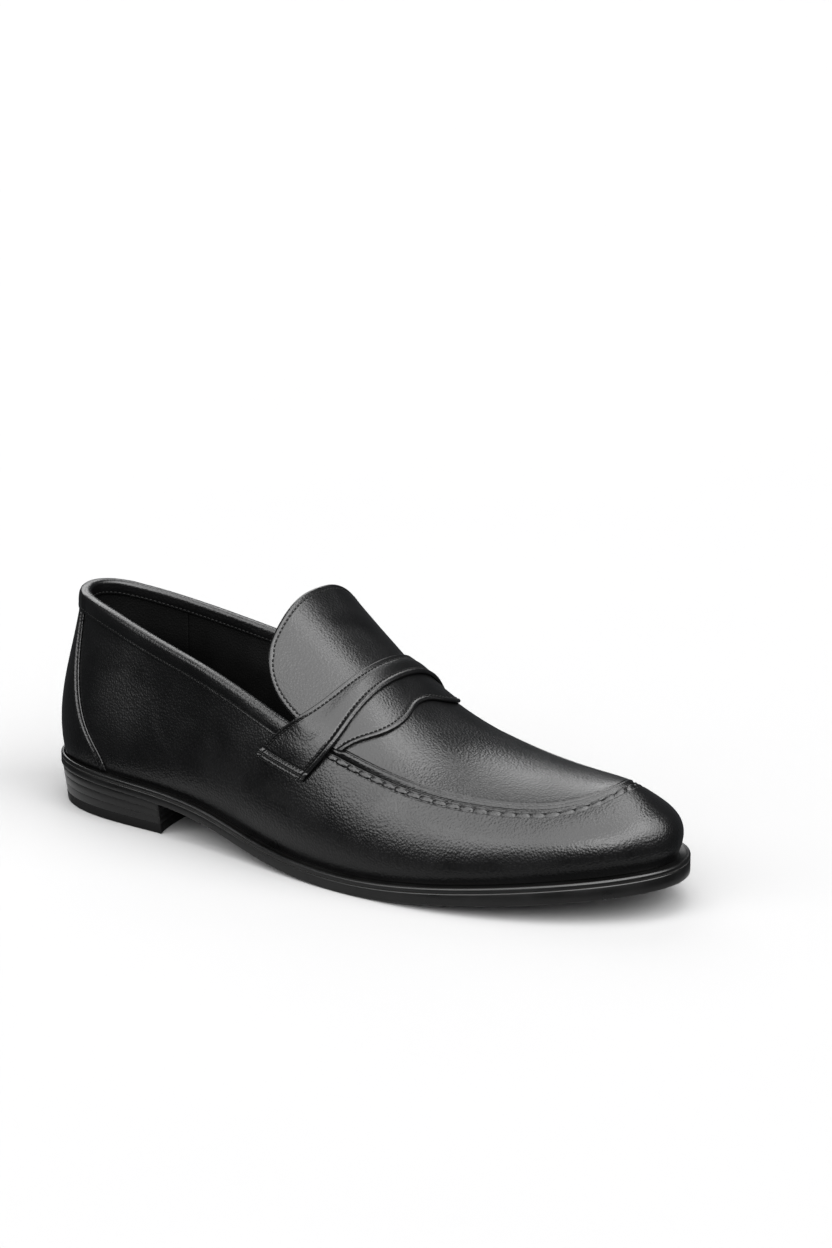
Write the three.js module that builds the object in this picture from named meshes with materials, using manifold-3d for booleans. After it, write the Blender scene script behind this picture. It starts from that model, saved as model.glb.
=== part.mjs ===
// Penny loafer, right shoe, in millimetres.
// +X runs to the toe, +Y to the inner (medial) side, +Z up, and the shoe stands on z = 0.
//
// Everything is laid out from the surface of the shoemaker's last. The wall surface runs round the shoe:
// u = 0 at the back of the heel, 0.5 at the toe tip, 1 at the heel again, past the outer side first.
// v = 0 is the feather line at the sole, v = 1 the top line: the collar behind, the apron seam in front.
// The apron surface is an arch between the two sides of the seam, and the tongue continues it.
// Every leather layer is a patch of one of these surfaces between two depths below it.
import * as THREE from "three";
import { mergeVertices } from "three/addons/utils/BufferGeometryUtils.js";
import Module from "manifold-3d";

const wasm = await Module();
wasm.setup();

// ---------------------------------------------------------------- driving dimensions
// Where the box of the finished shoe is centred, seen from above.
const CENTRE = new THREE.Vector3(-0.5, -0.85, 0);

// Stations round one side of the last, as u, and the feather line there: x, y outer side, y inner side.
const STATIONS = [0, 0.032, 0.075, 0.125, 0.172, 0.219, 0.267, 0.316, 0.363, 0.408, 0.45, 0.478, 0.5];
const FEATHER_LINE = [
  [-146, 0, 0], [-139.5, -18, 18], [-116, -30.7, 29.5], [-82, -33.8, 31], [-50, -36.3, 30],
  [-18, -41.3, 32], [14, -46.3, 37.5], [47, -47.4, 44], [78, -43, 45], [107, -32.6, 39],
  [130, -18, 27.3], [140, -6, 14.2], [142.5, 4, 4],
];
// The top line at the same stations: x, y outer, y inner, z outer, z inner.
const TOP_LINE = [
  [-138.3, 0, 0, 89.6, 89.6], [-133, -12.5, 12.5, 88.8, 88], [-112, -23.3, 24.3, 86.3, 82.4],
  [-84, -29.5, 29.7, 80.3, 76.5], [-55, -33.9, 32.9, 73.9, 70.4], [-28, -37.2, 34.9, 66.2, 63.2],
  [2, -39.7, 36.6, 56.2, 54.9], [32, -39.2, 37.8, 47.3, 48.4], [60, -35.7, 38.2, 41.6, 42.2],
  [86, -29, 34.8, 39.7, 39.9], [108, -19.4, 27.3, 41.2, 41], [120, -8.2, 15.8, 45.6, 44.6],
  [124.3, 3.5, 3.5, 48.6, 48.6],
];
// Height of the feather line along x: heel seat, waist, ball and toe spring.
const FEATHER_X = [-146, -110, -80, -50, -20, 10, 40, 70, 100, 130, 146];
const FEATHER_Z = [21.4, 20.7, 19.5, 16.3, 10.2, 7.3, 7.6, 10.4, 14.2, 18.2, 20.2];
// Fullness of the wall: u, then length and outward lean of its lower handle, length and fall of its upper one.
const WALL_STATIONS = [0, 0.075, 0.172, 0.267, 0.363, 0.45, 0.5, 0.55, 0.637, 0.733, 0.828, 0.925, 1];
const WALL_HANDLES = [
  [26, 10, 26, 82], [20, 14, 22, 86], [18, 16, 20, 88], [15, 14, 16, 72], [12, 16, 14, 50],
  [14, 22, 16.5, 32], [16, 24.5, 18, 25], [14, 22, 16.5, 32], [12, 14, 14, 50], [15, 12, 16, 70],
  [18, 10, 20, 88], [20, 12, 22, 86], [26, 10, 26, 82],
];
// Ridge of the apron and tongue along x, and how flat-topped its arch is.
const RIDGE_X = [-34, -22, -10, 2, 14, 26, 40, 56, 75, 95, 112, 124.3];
const RIDGE_Z = [116.6, 107.6, 97.6, 87.8, 78.2, 69, 60, 53, 48.8, 47.3, 47.4, 48.6];
const ARCH_X = [-34, 0, 20, 50, 80, 125];
const ARCH_POWER = [2.5, 2.5, 2.4, 2.15, 2, 2];
// The tongue leaves the seam at this station; behind it its free sides stand above the collar.
const TONGUE_U = 20 / 72;
const TONGUE_BEHIND = [0, 6, 15, 27, 43];
const TONGUE_RISE = [0, 4.6, 11.2, 20.7, 33];
const TONGUE_TOP_X = -19.6;
const TONGUE_TOP_DIP = 1.6;
const TONGUE_CORNER = 7.5;
const TONGUE_CORNER_START = 0.8;

const LEATHER = 1.3;
const LINING = 0.8;
const GAP = 0.3;
const SEAM_GAP = 0.2;
// Sole: how far its edge stands out from the feather line, u by u, and its thickness along x.
const SOLE_U = [0, 0.07, 0.15, 0.25, 0.35, 0.43, 0.5, 0.57, 0.65, 0.75, 0.85, 0.93, 1];
const SOLE_OUT = [2.3, 2.9, 3.3, 4, 4.7, 5.3, 4.8, 5.3, 4.7, 4, 3.3, 2.9, 2.3];
const SOLE_X = [-146, -80, 0, 40, 70, 130, 146];
const SOLE_THICK = [5.3, 5.8, 6.8, 7.1, 7.4, 8, 8];
const WELT_DROP = 0.3;
const WELT_THICK = 2.1;
const WELT_INNER = 5;
const WELT_BEVEL = 0.45;
const TOP_LIFT = 4.3;
const LIFT_GAP = 0.15;
const LIFT_COUNT = 3;
const HEEL_INSET = 0.5;
const HEEL_TAPER = 1.6;
const BREAST_HOLLOW = 6.5;
const NAIL_RADIUS = 0.9;

// ---------------------------------------------------------------- small mathematics
const lerp = THREE.MathUtils.lerp;
const clamp = THREE.MathUtils.clamp;
const range = (count) => [...Array(count).keys()];
const V = (x, y, z) => new THREE.Vector3(x, y, z);

// Natural cubic spline through rows of numbers; gives a row back, and runs on straight past its ends.
function spline(knots, rows) {
  const last = knots.length - 1;
  const width = rows[0].length;
  const step = range(last).map((i) => knots[i + 1] - knots[i]);
  const bend = range(last + 1).map(() => Array(width).fill(0));
  const pivot = Array(last + 1).fill(1);
  for (let i = 1; i < last; i++) {
    const ratio = i > 1 ? step[i - 1] / pivot[i - 1] : 0;
    pivot[i] = 2 * (step[i - 1] + step[i]) - ratio * (i > 1 ? step[i - 1] : 0);
    for (let c = 0; c < width; c++) {
      const change = (rows[i + 1][c] - rows[i][c]) / step[i] - (rows[i][c] - rows[i - 1][c]) / step[i - 1];
      bend[i][c] = 6 * change - ratio * bend[i - 1][c];
    }
  }
  for (let i = last - 1; i > 0; i--) {
    for (let c = 0; c < width; c++) bend[i][c] = (bend[i][c] - step[i] * bend[i + 1][c]) / pivot[i];
  }
  return (x) => {
    let i = 0;
    while (i < last - 1 && x > knots[i + 1]) i++;
    const a = (knots[i + 1] - x) / step[i];
    const b = 1 - a;
    const curve = (c) => ((a ** 3 - a) * bend[i][c] + (b ** 3 - b) * bend[i + 1][c]) * step[i] ** 2 / 6;
    return range(width).map((c) => a * rows[i][c] + b * rows[i + 1][c] + curve(c));
  };
}

// A spline of one number.
function spline1(knots, values) {
  const curve = spline(knots, values.map((value) => [value]));
  return (x) => curve(x)[0];
}

// A spline that closes on itself over u = 0 to 1.
function loopSpline(knots, rows) {
  const pad = 4;
  const last = knots.length - 1;
  const before = range(pad).map((i) => last - pad + i);
  const after = range(pad).map((i) => i + 1);
  const allKnots = [...before.map((i) => knots[i] - 1), ...knots, ...after.map((i) => knots[i] + 1)];
  const allRows = [...before.map((i) => rows[i]), ...rows, ...after.map((i) => rows[i])];
  const curve = spline(allKnots, allRows);
  return (u) => curve(u - Math.floor(u));
}

// Outer-side rows followed by inner-side rows in turn, so that u runs once round the shoe.
const roundTrip = (outer, inner) => [...outer, ...inner.slice(0, -1).reverse()];
const ROUND_STATIONS = roundTrip(STATIONS, STATIONS.map((u) => 1 - u));

// ---------------------------------------------------------------- surfaces of the last
const featherPlan = loopSpline(ROUND_STATIONS, roundTrip(
  FEATHER_LINE.map(([x, outer]) => [x, outer]), FEATHER_LINE.map(([x, , inner]) => [x, inner])));
const featherHeight = spline1(FEATHER_X, FEATHER_Z);
const soleThickness = spline1(SOLE_X, SOLE_THICK);
const soleOut = loopSpline(SOLE_U, SOLE_OUT.map((out) => [out]));
const wallHandles = loopSpline(WALL_STATIONS, WALL_HANDLES);
const ridgeHeight = spline1(RIDGE_X, RIDGE_Z);
const archPower = spline1(ARCH_X, ARCH_POWER);
const tongueRise = spline1(TONGUE_BEHIND, TONGUE_RISE);
const topCurve = loopSpline(ROUND_STATIONS, roundTrip(
  TOP_LINE.map(([x, outer, , high]) => [x, outer, high]),
  TOP_LINE.map(([x, , inner, , high]) => [x, inner, high])));
const topLine = (u) => V(...topCurve(u));

// Direction straight out from the feather line in plan.
function outward(u) {
  const step = 1e-4;
  const [ax, ay] = featherPlan(u - step);
  const [bx, by] = featherPlan(u + step);
  return V(by - ay, ax - bx, 0).normalize();
}

function featherPoint(u, out = 0) {
  const [x, y] = featherPlan(u);
  return V(x, y, featherHeight(x)).addScaledVector(outward(u), out);
}

// The wall: a cubic curve from the feather line up to the top line, full in the middle.
function wallPoint(u, v) {
  const [low, lean, high, fall] = wallHandles(u);
  const out = outward(u);
  const bottom = featherPoint(u);
  const top = topLine(u);
  const leanAngle = THREE.MathUtils.degToRad(lean);
  const fallAngle = THREE.MathUtils.degToRad(fall);
  const lower = bottom.clone().addScaledVector(out, low * Math.sin(leanAngle));
  lower.z += low * Math.cos(leanAngle);
  const upper = top.clone().addScaledVector(out, high * Math.cos(fallAngle));
  upper.z -= high * Math.sin(fallAngle);
  return new THREE.CubicBezierCurve3(bottom, lower, upper, top).getPoint(v);
}

// The two sides of the seam at a station of the apron.
function apronSides(t) {
  const u = lerp(TONGUE_U, 0.5, Math.max(t, 0));
  return [topLine(u), topLine(1 - u)];
}

// Where the tongue's top edge lies along x: almost straight across, with round corners.
function tongueTopX(s) {
  const corner = Math.max((Math.abs(s) - TONGUE_CORNER_START) / (1 - TONGUE_CORNER_START), 0);
  return TONGUE_TOP_X - TONGUE_TOP_DIP * s * s + TONGUE_CORNER * corner ** 3;
}

// The apron and tongue: t = 0 where the tongue leaves the seam, 1 at the toe, -1 at the tongue's top;
// s = -1 on the outer side, 1 on the inner side.
function apronPoint(t, s) {
  const [outer, inner] = apronSides(t);
  const point = outer.lerp(inner, (s + 1) / 2);
  if (t < 0) {
    const seamEnd = point.x;
    point.x = lerp(seamEnd, tongueTopX(s), -t);
    point.z += tongueRise(seamEnd - point.x);
  }
  const drop = Math.abs(s) ** archPower(point.x);
  point.z = lerp(ridgeHeight(point.x), point.z, drop);
  return point;
}

// Normal of a surface function at (a, b), pointing out of the shoe.
function surfaceNormal(surface, a, b, lowB, highB) {
  const step = 2e-3;
  const back = Math.max(b - step, lowB);
  const front = Math.min(b + step, highB);
  const alongA = surface(a + step, b).sub(surface(a - step, b));
  const alongB = surface(a, front).sub(surface(a, back));
  return alongA.cross(alongB).normalize();
}
const wallNormal = (u, v) => surfaceNormal(wallPoint, u, v, 0, 1);
const apronNormal = (t, s) => surfaceNormal(apronPoint, clamp(t, -1, 0.985), s, -1, 1);

// At the seam both layers are cut along the plane half-way between their normals.
function seamNormal(u) {
  const side = u < 0.5 ? -1 : 1;
  const t = (Math.min(u, 1 - u) - TONGUE_U) / (0.5 - TONGUE_U);
  return wallNormal(u, 1).add(apronNormal(t, side)).normalize();
}

// ---------------------------------------------------------------- building bodies
// Collects triangles, merging equal corners and leaving out the ones that have closed up.
class Body {
  constructor() {
    this.points = [];
    this.faces = [];
    this.known = new Map();
  }

  add(point) {
    const key = point.toArray().map((value) => Math.round(value * 1e4)).join();
    if (!this.known.has(key)) {
      this.known.set(key, this.points.length);
      this.points.push(point);
    }
    return this.known.get(key);
  }

  triangle(a, b, c) {
    if (a !== b && b !== c && c !== a) this.faces.push([a, b, c]);
  }

  quad(a, b, c, d) {
    this.triangle(a, b, c);
    this.triangle(a, c, d);
  }

  volume() {
    const corner = V(0, 0, 0);
    return this.faces.reduce((sum, face) => {
      const [a, b, c] = face.map((index) => this.points[index]);
      return sum + corner.crossVectors(b, c).dot(a) / 6;
    }, 0);
  }

  geometry() {
    const turned = this.volume() < 0;
    const order = this.faces.flatMap(([a, b, c]) => (turned ? [a, c, b] : [a, b, c]));
    const shape = new THREE.BufferGeometry();
    shape.setAttribute("position", new THREE.Float32BufferAttribute(
      this.points.flatMap((point) => point.toArray()), 3));
    shape.setIndex(order);
    return shape;
  }
}

// A closed body between two grids of points that share their layout.
function bodyBetween(upper, lower) {
  const body = new Body();
  const ids = [upper, lower].map((grid) => grid.map((row) => row.map((point) => body.add(point))));
  const [top, under] = ids;
  const rows = top.length - 1;
  const columns = top[0].length - 1;
  for (let i = 0; i < rows; i++) {
    for (let j = 0; j < columns; j++) {
      body.quad(top[i][j], top[i + 1][j], top[i + 1][j + 1], top[i][j + 1]);
      body.quad(under[i][j + 1], under[i + 1][j + 1], under[i + 1][j], under[i][j]);
    }
    body.quad(top[i][0], under[i][0], under[i + 1][0], top[i + 1][0]);
    body.quad(top[i + 1][columns], under[i + 1][columns], under[i][columns], top[i][columns]);
  }
  for (let j = 0; j < columns; j++) {
    body.quad(top[0][j + 1], under[0][j + 1], under[0][j], top[0][j]);
    body.quad(top[rows][j], under[rows][j], under[rows][j + 1], top[rows][j + 1]);
  }
  return body.geometry();
}

// A layer of leather: the patch of a surface between two depths. place(a, b) gives point and normal.
function layer(place, listA, listB, outerDepth, innerDepth) {
  const grid = (depth) => listA.map((a) => listB.map((b) => {
    const { point, normal } = place(a, b);
    return point.clone().addScaledVector(normal, -depth);
  }));
  return bodyBetween(grid(outerDepth), grid(innerDepth));
}

function mesh(name, geometry, color, roughness, metalness = 0) {
  const made = new THREE.Mesh(geometry, new THREE.MeshStandardMaterial({ color, roughness, metalness }));
  made.name = name;
  made.position.copy(CENTRE).negate();
  return made;
}

const BLACK_LEATHER = [0x141414, 0.42];
const BLACK_LINING = [0x1a1a1a, 0.6];
const SOLE_EDGE = [0x1c1b1a, 0.55];
const BOARD = [0xa07c55, 0.85];
const STEEL = [0x9a9a9a, 0.35, 0.9];

// ---------------------------------------------------------------- layers round the wall
// Grid stations shared by every layer, so that nested layers stay parallel.
const ROUND = 72;
const WALL_V = [0, 0.16, 0.34, 0.52, 0.7, 0.85, 1];
const stationsFrom = (first, last) => range(last - first + 1).map((i) => (first + i) / ROUND);
// The same stretch with its two ends drawn in, so that neighbouring linings do not touch.
const drawnIn = (first, last) => [
  (first + 0.05) / ROUND, ...stationsFrom(first + 1, last - 1), (last - 0.05) / ROUND];

// The seam stretch of the top line, where the wall meets the apron.
const atSeam = (u) => Math.min(u, 1 - u) > TONGUE_U - 0.005;

function wallPlace(u, v) {
  const wrapped = u - Math.floor(u);
  if (v < 1) return { point: wallPoint(wrapped, v), normal: wallNormal(wrapped, v) };
  const point = wallPoint(wrapped, 1);
  if (!atSeam(wrapped)) return { point, normal: wallNormal(wrapped, 1) };
  const down = wallPoint(wrapped, 0.97).sub(point).normalize();
  return { point: point.addScaledVector(down, SEAM_GAP), normal: seamNormal(wrapped) };
}

function wallLayer(first, last, heights, outerDepth, innerDepth) {
  return layer(wallPlace, stationsFrom(first, last), heights, outerDepth, innerDepth);
}

// Apron layers run from the tongue's top to the toe, cut back from the seam by a small margin.
const ARCH_HALF = [0.15, 0.3, 0.46, 0.6, 0.72, 0.82, 0.9, 0.96, 1];
const bothSides = (half) => [...half.map((s) => -s).reverse(), 0, ...half];
const ARCH_S = bothSides(ARCH_HALF);
const LEAF_S = bothSides(ARCH_HALF.slice(0, -2));

function apronPlace(margin) {
  return (t, s) => {
    if (t === 1) return { point: topLine(0.5).add(V(-margin, 0, 0)), normal: seamNormal(0.5) };
    const [outer, inner] = apronSides(t);
    const onSeam = t >= 0 && Math.abs(s) === 1;
    const reach = onSeam ? s * (1 - 2 * margin / outer.distanceTo(inner)) : s;
    const u = lerp(TONGUE_U, 0.5, t);
    const normal = onSeam ? seamNormal(s < 0 ? u : 1 - u) : apronNormal(t, reach);
    return { point: apronPoint(t, reach), normal };
  };
}

const SEAM_STATIONS = range(17).map((i) => i / 16);
const TONGUE_STATIONS = [-1, -0.82, -0.64, -0.46, -0.3, -0.15];
const APRON_STATIONS = [...TONGUE_STATIONS, ...SEAM_STATIONS];
const PLUG_LINING_STATIONS = [...TONGUE_STATIONS, ...SEAM_STATIONS.slice(0, -2)];

// ---------------------------------------------------------------- flat pieces of the bottom
const BOTTOM_STATIONS = range(ROUND / 2 + 1).map((i) => i / ROUND);

// A slab: rows across the shoe from the outer outline to the inner one, between two height functions.
function slab(stations, out, topHeight, underHeight, across = [0, 0.5, 1]) {
  const grid = (height) => stations.map((u) => across.map((k) => {
    const point = featherPoint(u, out(u)).lerp(featherPoint(1 - u, out(1 - u)), k);
    point.z = height(point.x);
    return point;
  }));
  return bodyBetween(grid(topHeight), grid(underHeight));
}

const soleUnderside = (x) => featherHeight(x) - soleThickness(x);
const weltUnder = (x) => featherHeight(x) - WELT_DROP - WELT_THICK;
const soleTop = (x) => weltUnder(x) - LIFT_GAP;
const inset = (distance) => () => -distance;

function welt() {
  const section = (u) => {
    const edge = soleOut(u)[0];
    const corners = [
      [-WELT_INNER, 0], [edge - WELT_BEVEL, 0], [edge, -WELT_BEVEL],
      [edge, -WELT_THICK], [-WELT_INNER, -WELT_THICK]];
    return corners.map(([out, down]) => {
      const point = featherPoint(u, out);
      point.z = featherHeight(point.x) - WELT_DROP + down;
      return point;
    });
  };
  return sweep(range(ROUND).map((i) => section(i / ROUND)), true);
}

// A body swept through a list of equal sections, closed on itself or capped at its ends.
function sweep(sections, closed) {
  const body = new Body();
  const rings = sections.map((points) => points.map((point) => body.add(point)));
  const count = rings[0].length;
  const spans = closed ? rings.length : rings.length - 1;
  for (let i = 0; i < spans; i++) {
    const here = rings[i];
    const next = rings[(i + 1) % rings.length];
    for (let j = 0; j < count; j++) {
      const k = (j + 1) % count;
      body.quad(here[j], next[j], next[k], here[k]);
    }
  }
  if (!closed) {
    cap(body, rings[0], true);
    cap(body, rings[rings.length - 1], false);
  }
  return body.geometry();
}

// Closes the end of a sweep whose section runs out along one face and back along the other.
function cap(body, ring, first) {
  for (let low = 0, high = ring.length - 1; low + 1 < high; low++, high--) {
    const corners = [ring[low], ring[low + 1], ring[high - 1], ring[high]];
    if (first) corners.reverse();
    body.quad(...corners.reverse());
  }
}

// ---------------------------------------------------------------- collar, counter and strap
// How deep the lining lies: behind stiffener and toe puff low down, straight behind the leather at the top.
const LINING_DEEP = 2.9;
const LINING_SHALLOW = LEATHER + GAP;
const LINING_TURN = [0.66, 0.92];
function liningDepth(u, v) {
  return lerp(LINING_DEEP, LINING_SHALLOW, THREE.MathUtils.smoothstep(v, ...LINING_TURN));
}

// A layer whose depth follows a function of place instead of staying constant.
function liningLayer(first, last, heights, thickness = LINING) {
  const grid = (extra) => drawnIn(first, last).map((u) => heights.map((v) => {
    const { point, normal } = wallPlace(u, v);
    return point.addScaledVector(normal, -liningDepth(u, v) - extra);
  }));
  return bodyBetween(grid(0), grid(thickness));
}

// The folded binding: outer flank, over the rim, inner flank, and back along its hollow inside.
// It runs from the strap on one side round the heel to the strap on the other, counted in stations.
const BINDING_END = 19;
const BINDING_OUTER = 7;
const BINDING_INNER = 4.5;
const BINDING_OUTSIDE = [[-0.95, -0.5], [-0.6, 0.75], [0.3, 1.25], [2.4, 1.25], [3.2, 0.6], [3.45, -0.6]];
const BINDING_INSIDE = [[2.75, -0.6], [2.7, 0.15], [2.1, 0.42], [0.6, 0.42], [-0.25, 0.2], [-0.25, -0.5]];

function bindingSection(u) {
  const wrapped = u - Math.floor(u);
  const handle = 3 * wallHandles(wrapped)[2];
  const flank = (down, depth) => {
    const v = 1 - down / handle;
    return wallPoint(wrapped, v).addScaledVector(wallNormal(wrapped, v), -depth);
  };
  const rim = wallPoint(wrapped, 1);
  const normal = wallNormal(wrapped, 1);
  const up = rim.clone().sub(wallPoint(wrapped, 0.98)).normalize();
  const over = ([depth, height]) => rim.clone().addScaledVector(normal, -depth).addScaledVector(up, height);
  return [
    flank(BINDING_OUTER, BINDING_OUTSIDE[0][0]), ...BINDING_OUTSIDE.map(over), flank(BINDING_INNER, 3.45),
    flank(BINDING_INNER, 2.75), ...BINDING_INSIDE.map(over), flank(BINDING_OUTER, -0.25),
  ];
}

// Front edge of the back counter, as u for each height v.
const COUNTER_V = [0.015, 0.15, 0.34, 0.52, 0.7, 0.893];
const COUNTER_ACROSS = range(17).map((i) => (i - 8) / 8);
const COUNTER_OUTER = -1.15;
const COUNTER_INNER = -0.5;
const counterEdge = spline1([0, 0.11, 0.255, 0.5, 0.74, 0.88], [0.0905, 0.0865, 0.0745, 0.058, 0.0475, 0.044]);

function counterPlace(k, v) {
  const u = k * counterEdge(v);
  return wallPlace(u < 0 ? u + 1 : u, v);
}

// The strap: outline on the apron as x across s, and on the wall as u down v.
const STRAP_TAB_V = 0.66;
const strapRearX = (s) => 12 - 14 * Math.abs(s) ** 2.3;
const strapFrontX = (s) => 20 - 4 * s * s;
const strapRearU = (v) => 0.2515 - 0.0235 * (1 - v) / 0.345;
const strapFrontU = (v) => 0.2895 - 0.0225 * (1 - v) / 0.33;
const STRAP_THICK = 1.1;
const STRAP_LIFT = 1.6;
// Half of the line across the strap, from a tab's end to the ridge: v on the wall, then s on the apron.
const STRAP_WALL = [[STRAP_TAB_V, 0.3], [0.76, 0.7], [0.87, STRAP_LIFT], [0.97, STRAP_LIFT]];
const STRAP_APRON = [0.97, 0.88, 0.74, 0.56, 0.36, 0.18];
const STRAP_ACROSS = 28;
const STRAP_ALONG = [0, 0.25, 0.5, 0.75, 1];

// Station t of the apron at a given x on the ridge, by halving.
function apronStation(x, s) {
  let low = -1;
  let high = 1;
  for (let i = 0; i < 30; i++) {
    const middle = (low + high) / 2;
    if (apronPoint(middle, s).x < x) low = middle;
    else high = middle;
  }
  return (low + high) / 2;
}

function onApron(x, s, lift) {
  const t = apronStation(x, s);
  return apronPoint(t, s).addScaledVector(apronNormal(t, s), lift);
}

// One line across the shoe at a share b of the strap's width, from the outer tab to the inner one.
function strapLine(b, frontX = strapFrontX) {
  const onWall = ([v, lift], inner) => {
    const u = lerp(strapRearU(v), strapFrontU(v), b);
    const place = inner ? 1 - u : u;
    return wallPoint(place, v).addScaledVector(wallNormal(place, v), lift);
  };
  const apronSpot = (s) => onApron(lerp(strapRearX(s), frontX(s), b), s, STRAP_LIFT);
  return [
    ...STRAP_WALL.map((spot) => onWall(spot, false)), ...STRAP_APRON.map((s) => apronSpot(-s)), apronSpot(0),
    ...STRAP_APRON.map(apronSpot).reverse(), ...STRAP_WALL.map((spot) => onWall(spot, true)).reverse(),
  ];
}

// The strap's middle surface as a smooth curve along each line; normals come from neighbouring points.
function strapGrid() {
  return STRAP_ALONG.map((b) => {
    const points = strapLine(b);
    const curve = spline(range(points.length), points.map((point) => point.toArray()));
    return range(STRAP_ACROSS + 1).map((i) => V(...curve(i / STRAP_ACROSS * (points.length - 1))));
  });
}

function gridNormals(grid) {
  const rows = grid.length - 1;
  const columns = grid[0].length - 1;
  return grid.map((row, i) => row.map((point, j) => {
    const alongRows = grid[Math.min(i + 1, rows)][j].clone().sub(grid[Math.max(i - 1, 0)][j]);
    const alongColumns = row[Math.min(j + 1, columns)].clone().sub(row[Math.max(j - 1, 0)]);
    return alongRows.cross(alongColumns).normalize();
  }));
}

function strap() {
  const grid = strapGrid();
  const normals = gridNormals(grid);
  const raised = (point, normal) => point.clone().addScaledVector(normal, STRAP_THICK);
  const outside = grid.map((row, i) => row.map((point, j) => raised(point, normals[i][j])));
  return bodyBetween(outside, grid);
}

// The leaf under the strap's front edge: two lobes with a shallow notch between them.
const LEAF_LIFT = 0.45;
const LEAF_THICK = 0.8;
const LEAF_ALONG = [0, 0.5, 1];
const leafFrontX = spline1([0, 0.12, 0.28, 0.47, 0.73, 0.9, 1], [30.6, 30.9, 32.4, 32.8, 28.4, 21.5, 17.5]);

function leafPlace(b, s) {
  const rear = lerp(strapRearX(s), strapFrontX(s), 0.45);
  const t = apronStation(lerp(rear, leafFrontX(Math.abs(s)), b), s);
  return { point: apronPoint(t, s), normal: apronNormal(t, s) };
}

// ---------------------------------------------------------------- heel
const heelOutline = (drop) => (u) => soleOut(u)[0] - HEEL_INSET - HEEL_TAPER * drop;
const BREAST_U = 0.1347;
const HEEL_STATIONS = [...range(10).map((i) => i / ROUND), BREAST_U];

// Breast line: the front stations are drawn back in the middle of the shoe.
function breastShift(u, k) {
  const near = Math.max((u - 0.08) / (BREAST_U - 0.08), 0);
  return -BREAST_HOLLOW * near ** 2 * 4 * k * (1 - k);
}

// A lift of the heel between two shares of the height from the top lift to the sole.
function heelLift(low, high) {
  const height = (share) => (x) => lerp(TOP_LIFT, soleUnderside(x), share);
  const across = [0, 0.12, 0.3, 0.5, 0.7, 0.88, 1];
  const grid = (share, gap) => HEEL_STATIONS.map((u) => across.map((k) => {
    const out = heelOutline(1 - share)(u);
    const point = featherPoint(u, out).lerp(featherPoint(1 - u, out), k);
    point.x += breastShift(u, k);
    point.z = height(share)(point.x) + gap;
    return point;
  }));
  return bodyBetween(grid(high, -LIFT_GAP / 2), grid(low, LIFT_GAP / 2));
}

function topLift() {
  const across = [0, 0.12, 0.3, 0.5, 0.7, 0.88, 1];
  const grid = (height, out) => HEEL_STATIONS.map((u) => across.map((k) => {
    const point = featherPoint(u, out(u)).lerp(featherPoint(1 - u, out(1 - u)), k);
    point.x += breastShift(u, k);
    point.z = height;
    return point;
  }));
  return bodyBetween(grid(TOP_LIFT - LIFT_GAP / 2, heelOutline(1)), grid(0, heelOutline(1.2)));
}

// Nails of the heel tip: straight pins through the top lift, in a horseshoe.
const NAIL_SPOTS = [[-133, 0.5], [-118, -17], [-118, 17], [-95, -23], [-95, 22]];
const NAIL_SINK = 0.4;

function nailShape(radius, low, high, [x, y]) {
  const pin = new THREE.CylinderGeometry(radius, radius, high - low, 12);
  pin.rotateX(Math.PI / 2);
  pin.translate(x, y, (low + high) / 2);
  return pin;
}

function solid(geometry) {
  const bare = geometry.clone();
  bare.deleteAttribute("normal");
  bare.deleteAttribute("uv");
  const merged = mergeVertices(bare, 1e-4);
  return new wasm.Manifold(new wasm.Mesh({
    numProp: 3,
    vertProperties: merged.getAttribute("position").array,
    triVerts: Uint32Array.from(merged.getIndex().array),
  }));
}

function fromSolid(shape) {
  const cut = shape.getMesh();
  const geometry = new THREE.BufferGeometry();
  geometry.setAttribute("position", new THREE.Float32BufferAttribute(cut.vertProperties, 3));
  geometry.setIndex([...cut.triVerts]);
  return geometry;
}

function drilledTopLift() {
  const drills = NAIL_SPOTS.map((spot) => solid(nailShape(NAIL_RADIUS + GAP, -1, TOP_LIFT + 1, spot)));
  return fromSolid(drills.reduce((body, drill) => body.subtract(drill), solid(topLift())));
}

// ---------------------------------------------------------------- bottom, inside the upper
const INSIDE = LINING_DEEP + LINING + GAP;
const INSOLE_THICK = 2.2;
const insoleUnder = (x) => featherHeight(x) + 0.1;
const insoleTop = (x) => insoleUnder(x) + INSOLE_THICK;
const SOCK_THICK = 1.1;
const PAD_THICK = 2.5;
const PAD_FRONT_X = -62;
const PAD_FADE = 14;
const PAD_MARGIN = 4;
const SOCK_MARGIN = 0.4;
const SHANK_X = [-104, -14];
const SHANK_HALF_WIDTH = 7;
const SHANK_THICK = 1.2;
const fillerTop = (x) => featherHeight(x) - WELT_DROP;
const fillerUnder = (x) => weltUnder(x);
const WIDE_ACROSS = [0, 0.25, 0.5, 0.75, 1];

// The heel pad lifts the sock liner over it and fades out at its front edge.
const padRise = (x) => PAD_THICK * (1 - THREE.MathUtils.smoothstep(x, PAD_FRONT_X - PAD_FADE, PAD_FRONT_X));

function strip(stations, width, top, under) {
  const grid = (height) => stations.map((x) => [-1, 0, 1].map((k) => V(x, k * width(x) - 1, height(x))));
  return bodyBetween(grid(top), grid(under));
}

// The shank: a ribbon of spring steel with rounded ends, following the waist.
function shank() {
  const [rear, front] = SHANK_X;
  const stations = range(13).map((i) => lerp(rear, front, i / 12));
  const width = (x) => Math.min(SHANK_HALF_WIDTH, 3 + Math.min(x - rear, front - x));
  return strip(stations, width, (x) => fillerUnder(x) + 0.1 + SHANK_THICK, (x) => fillerUnder(x) + 0.1);
}

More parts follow.
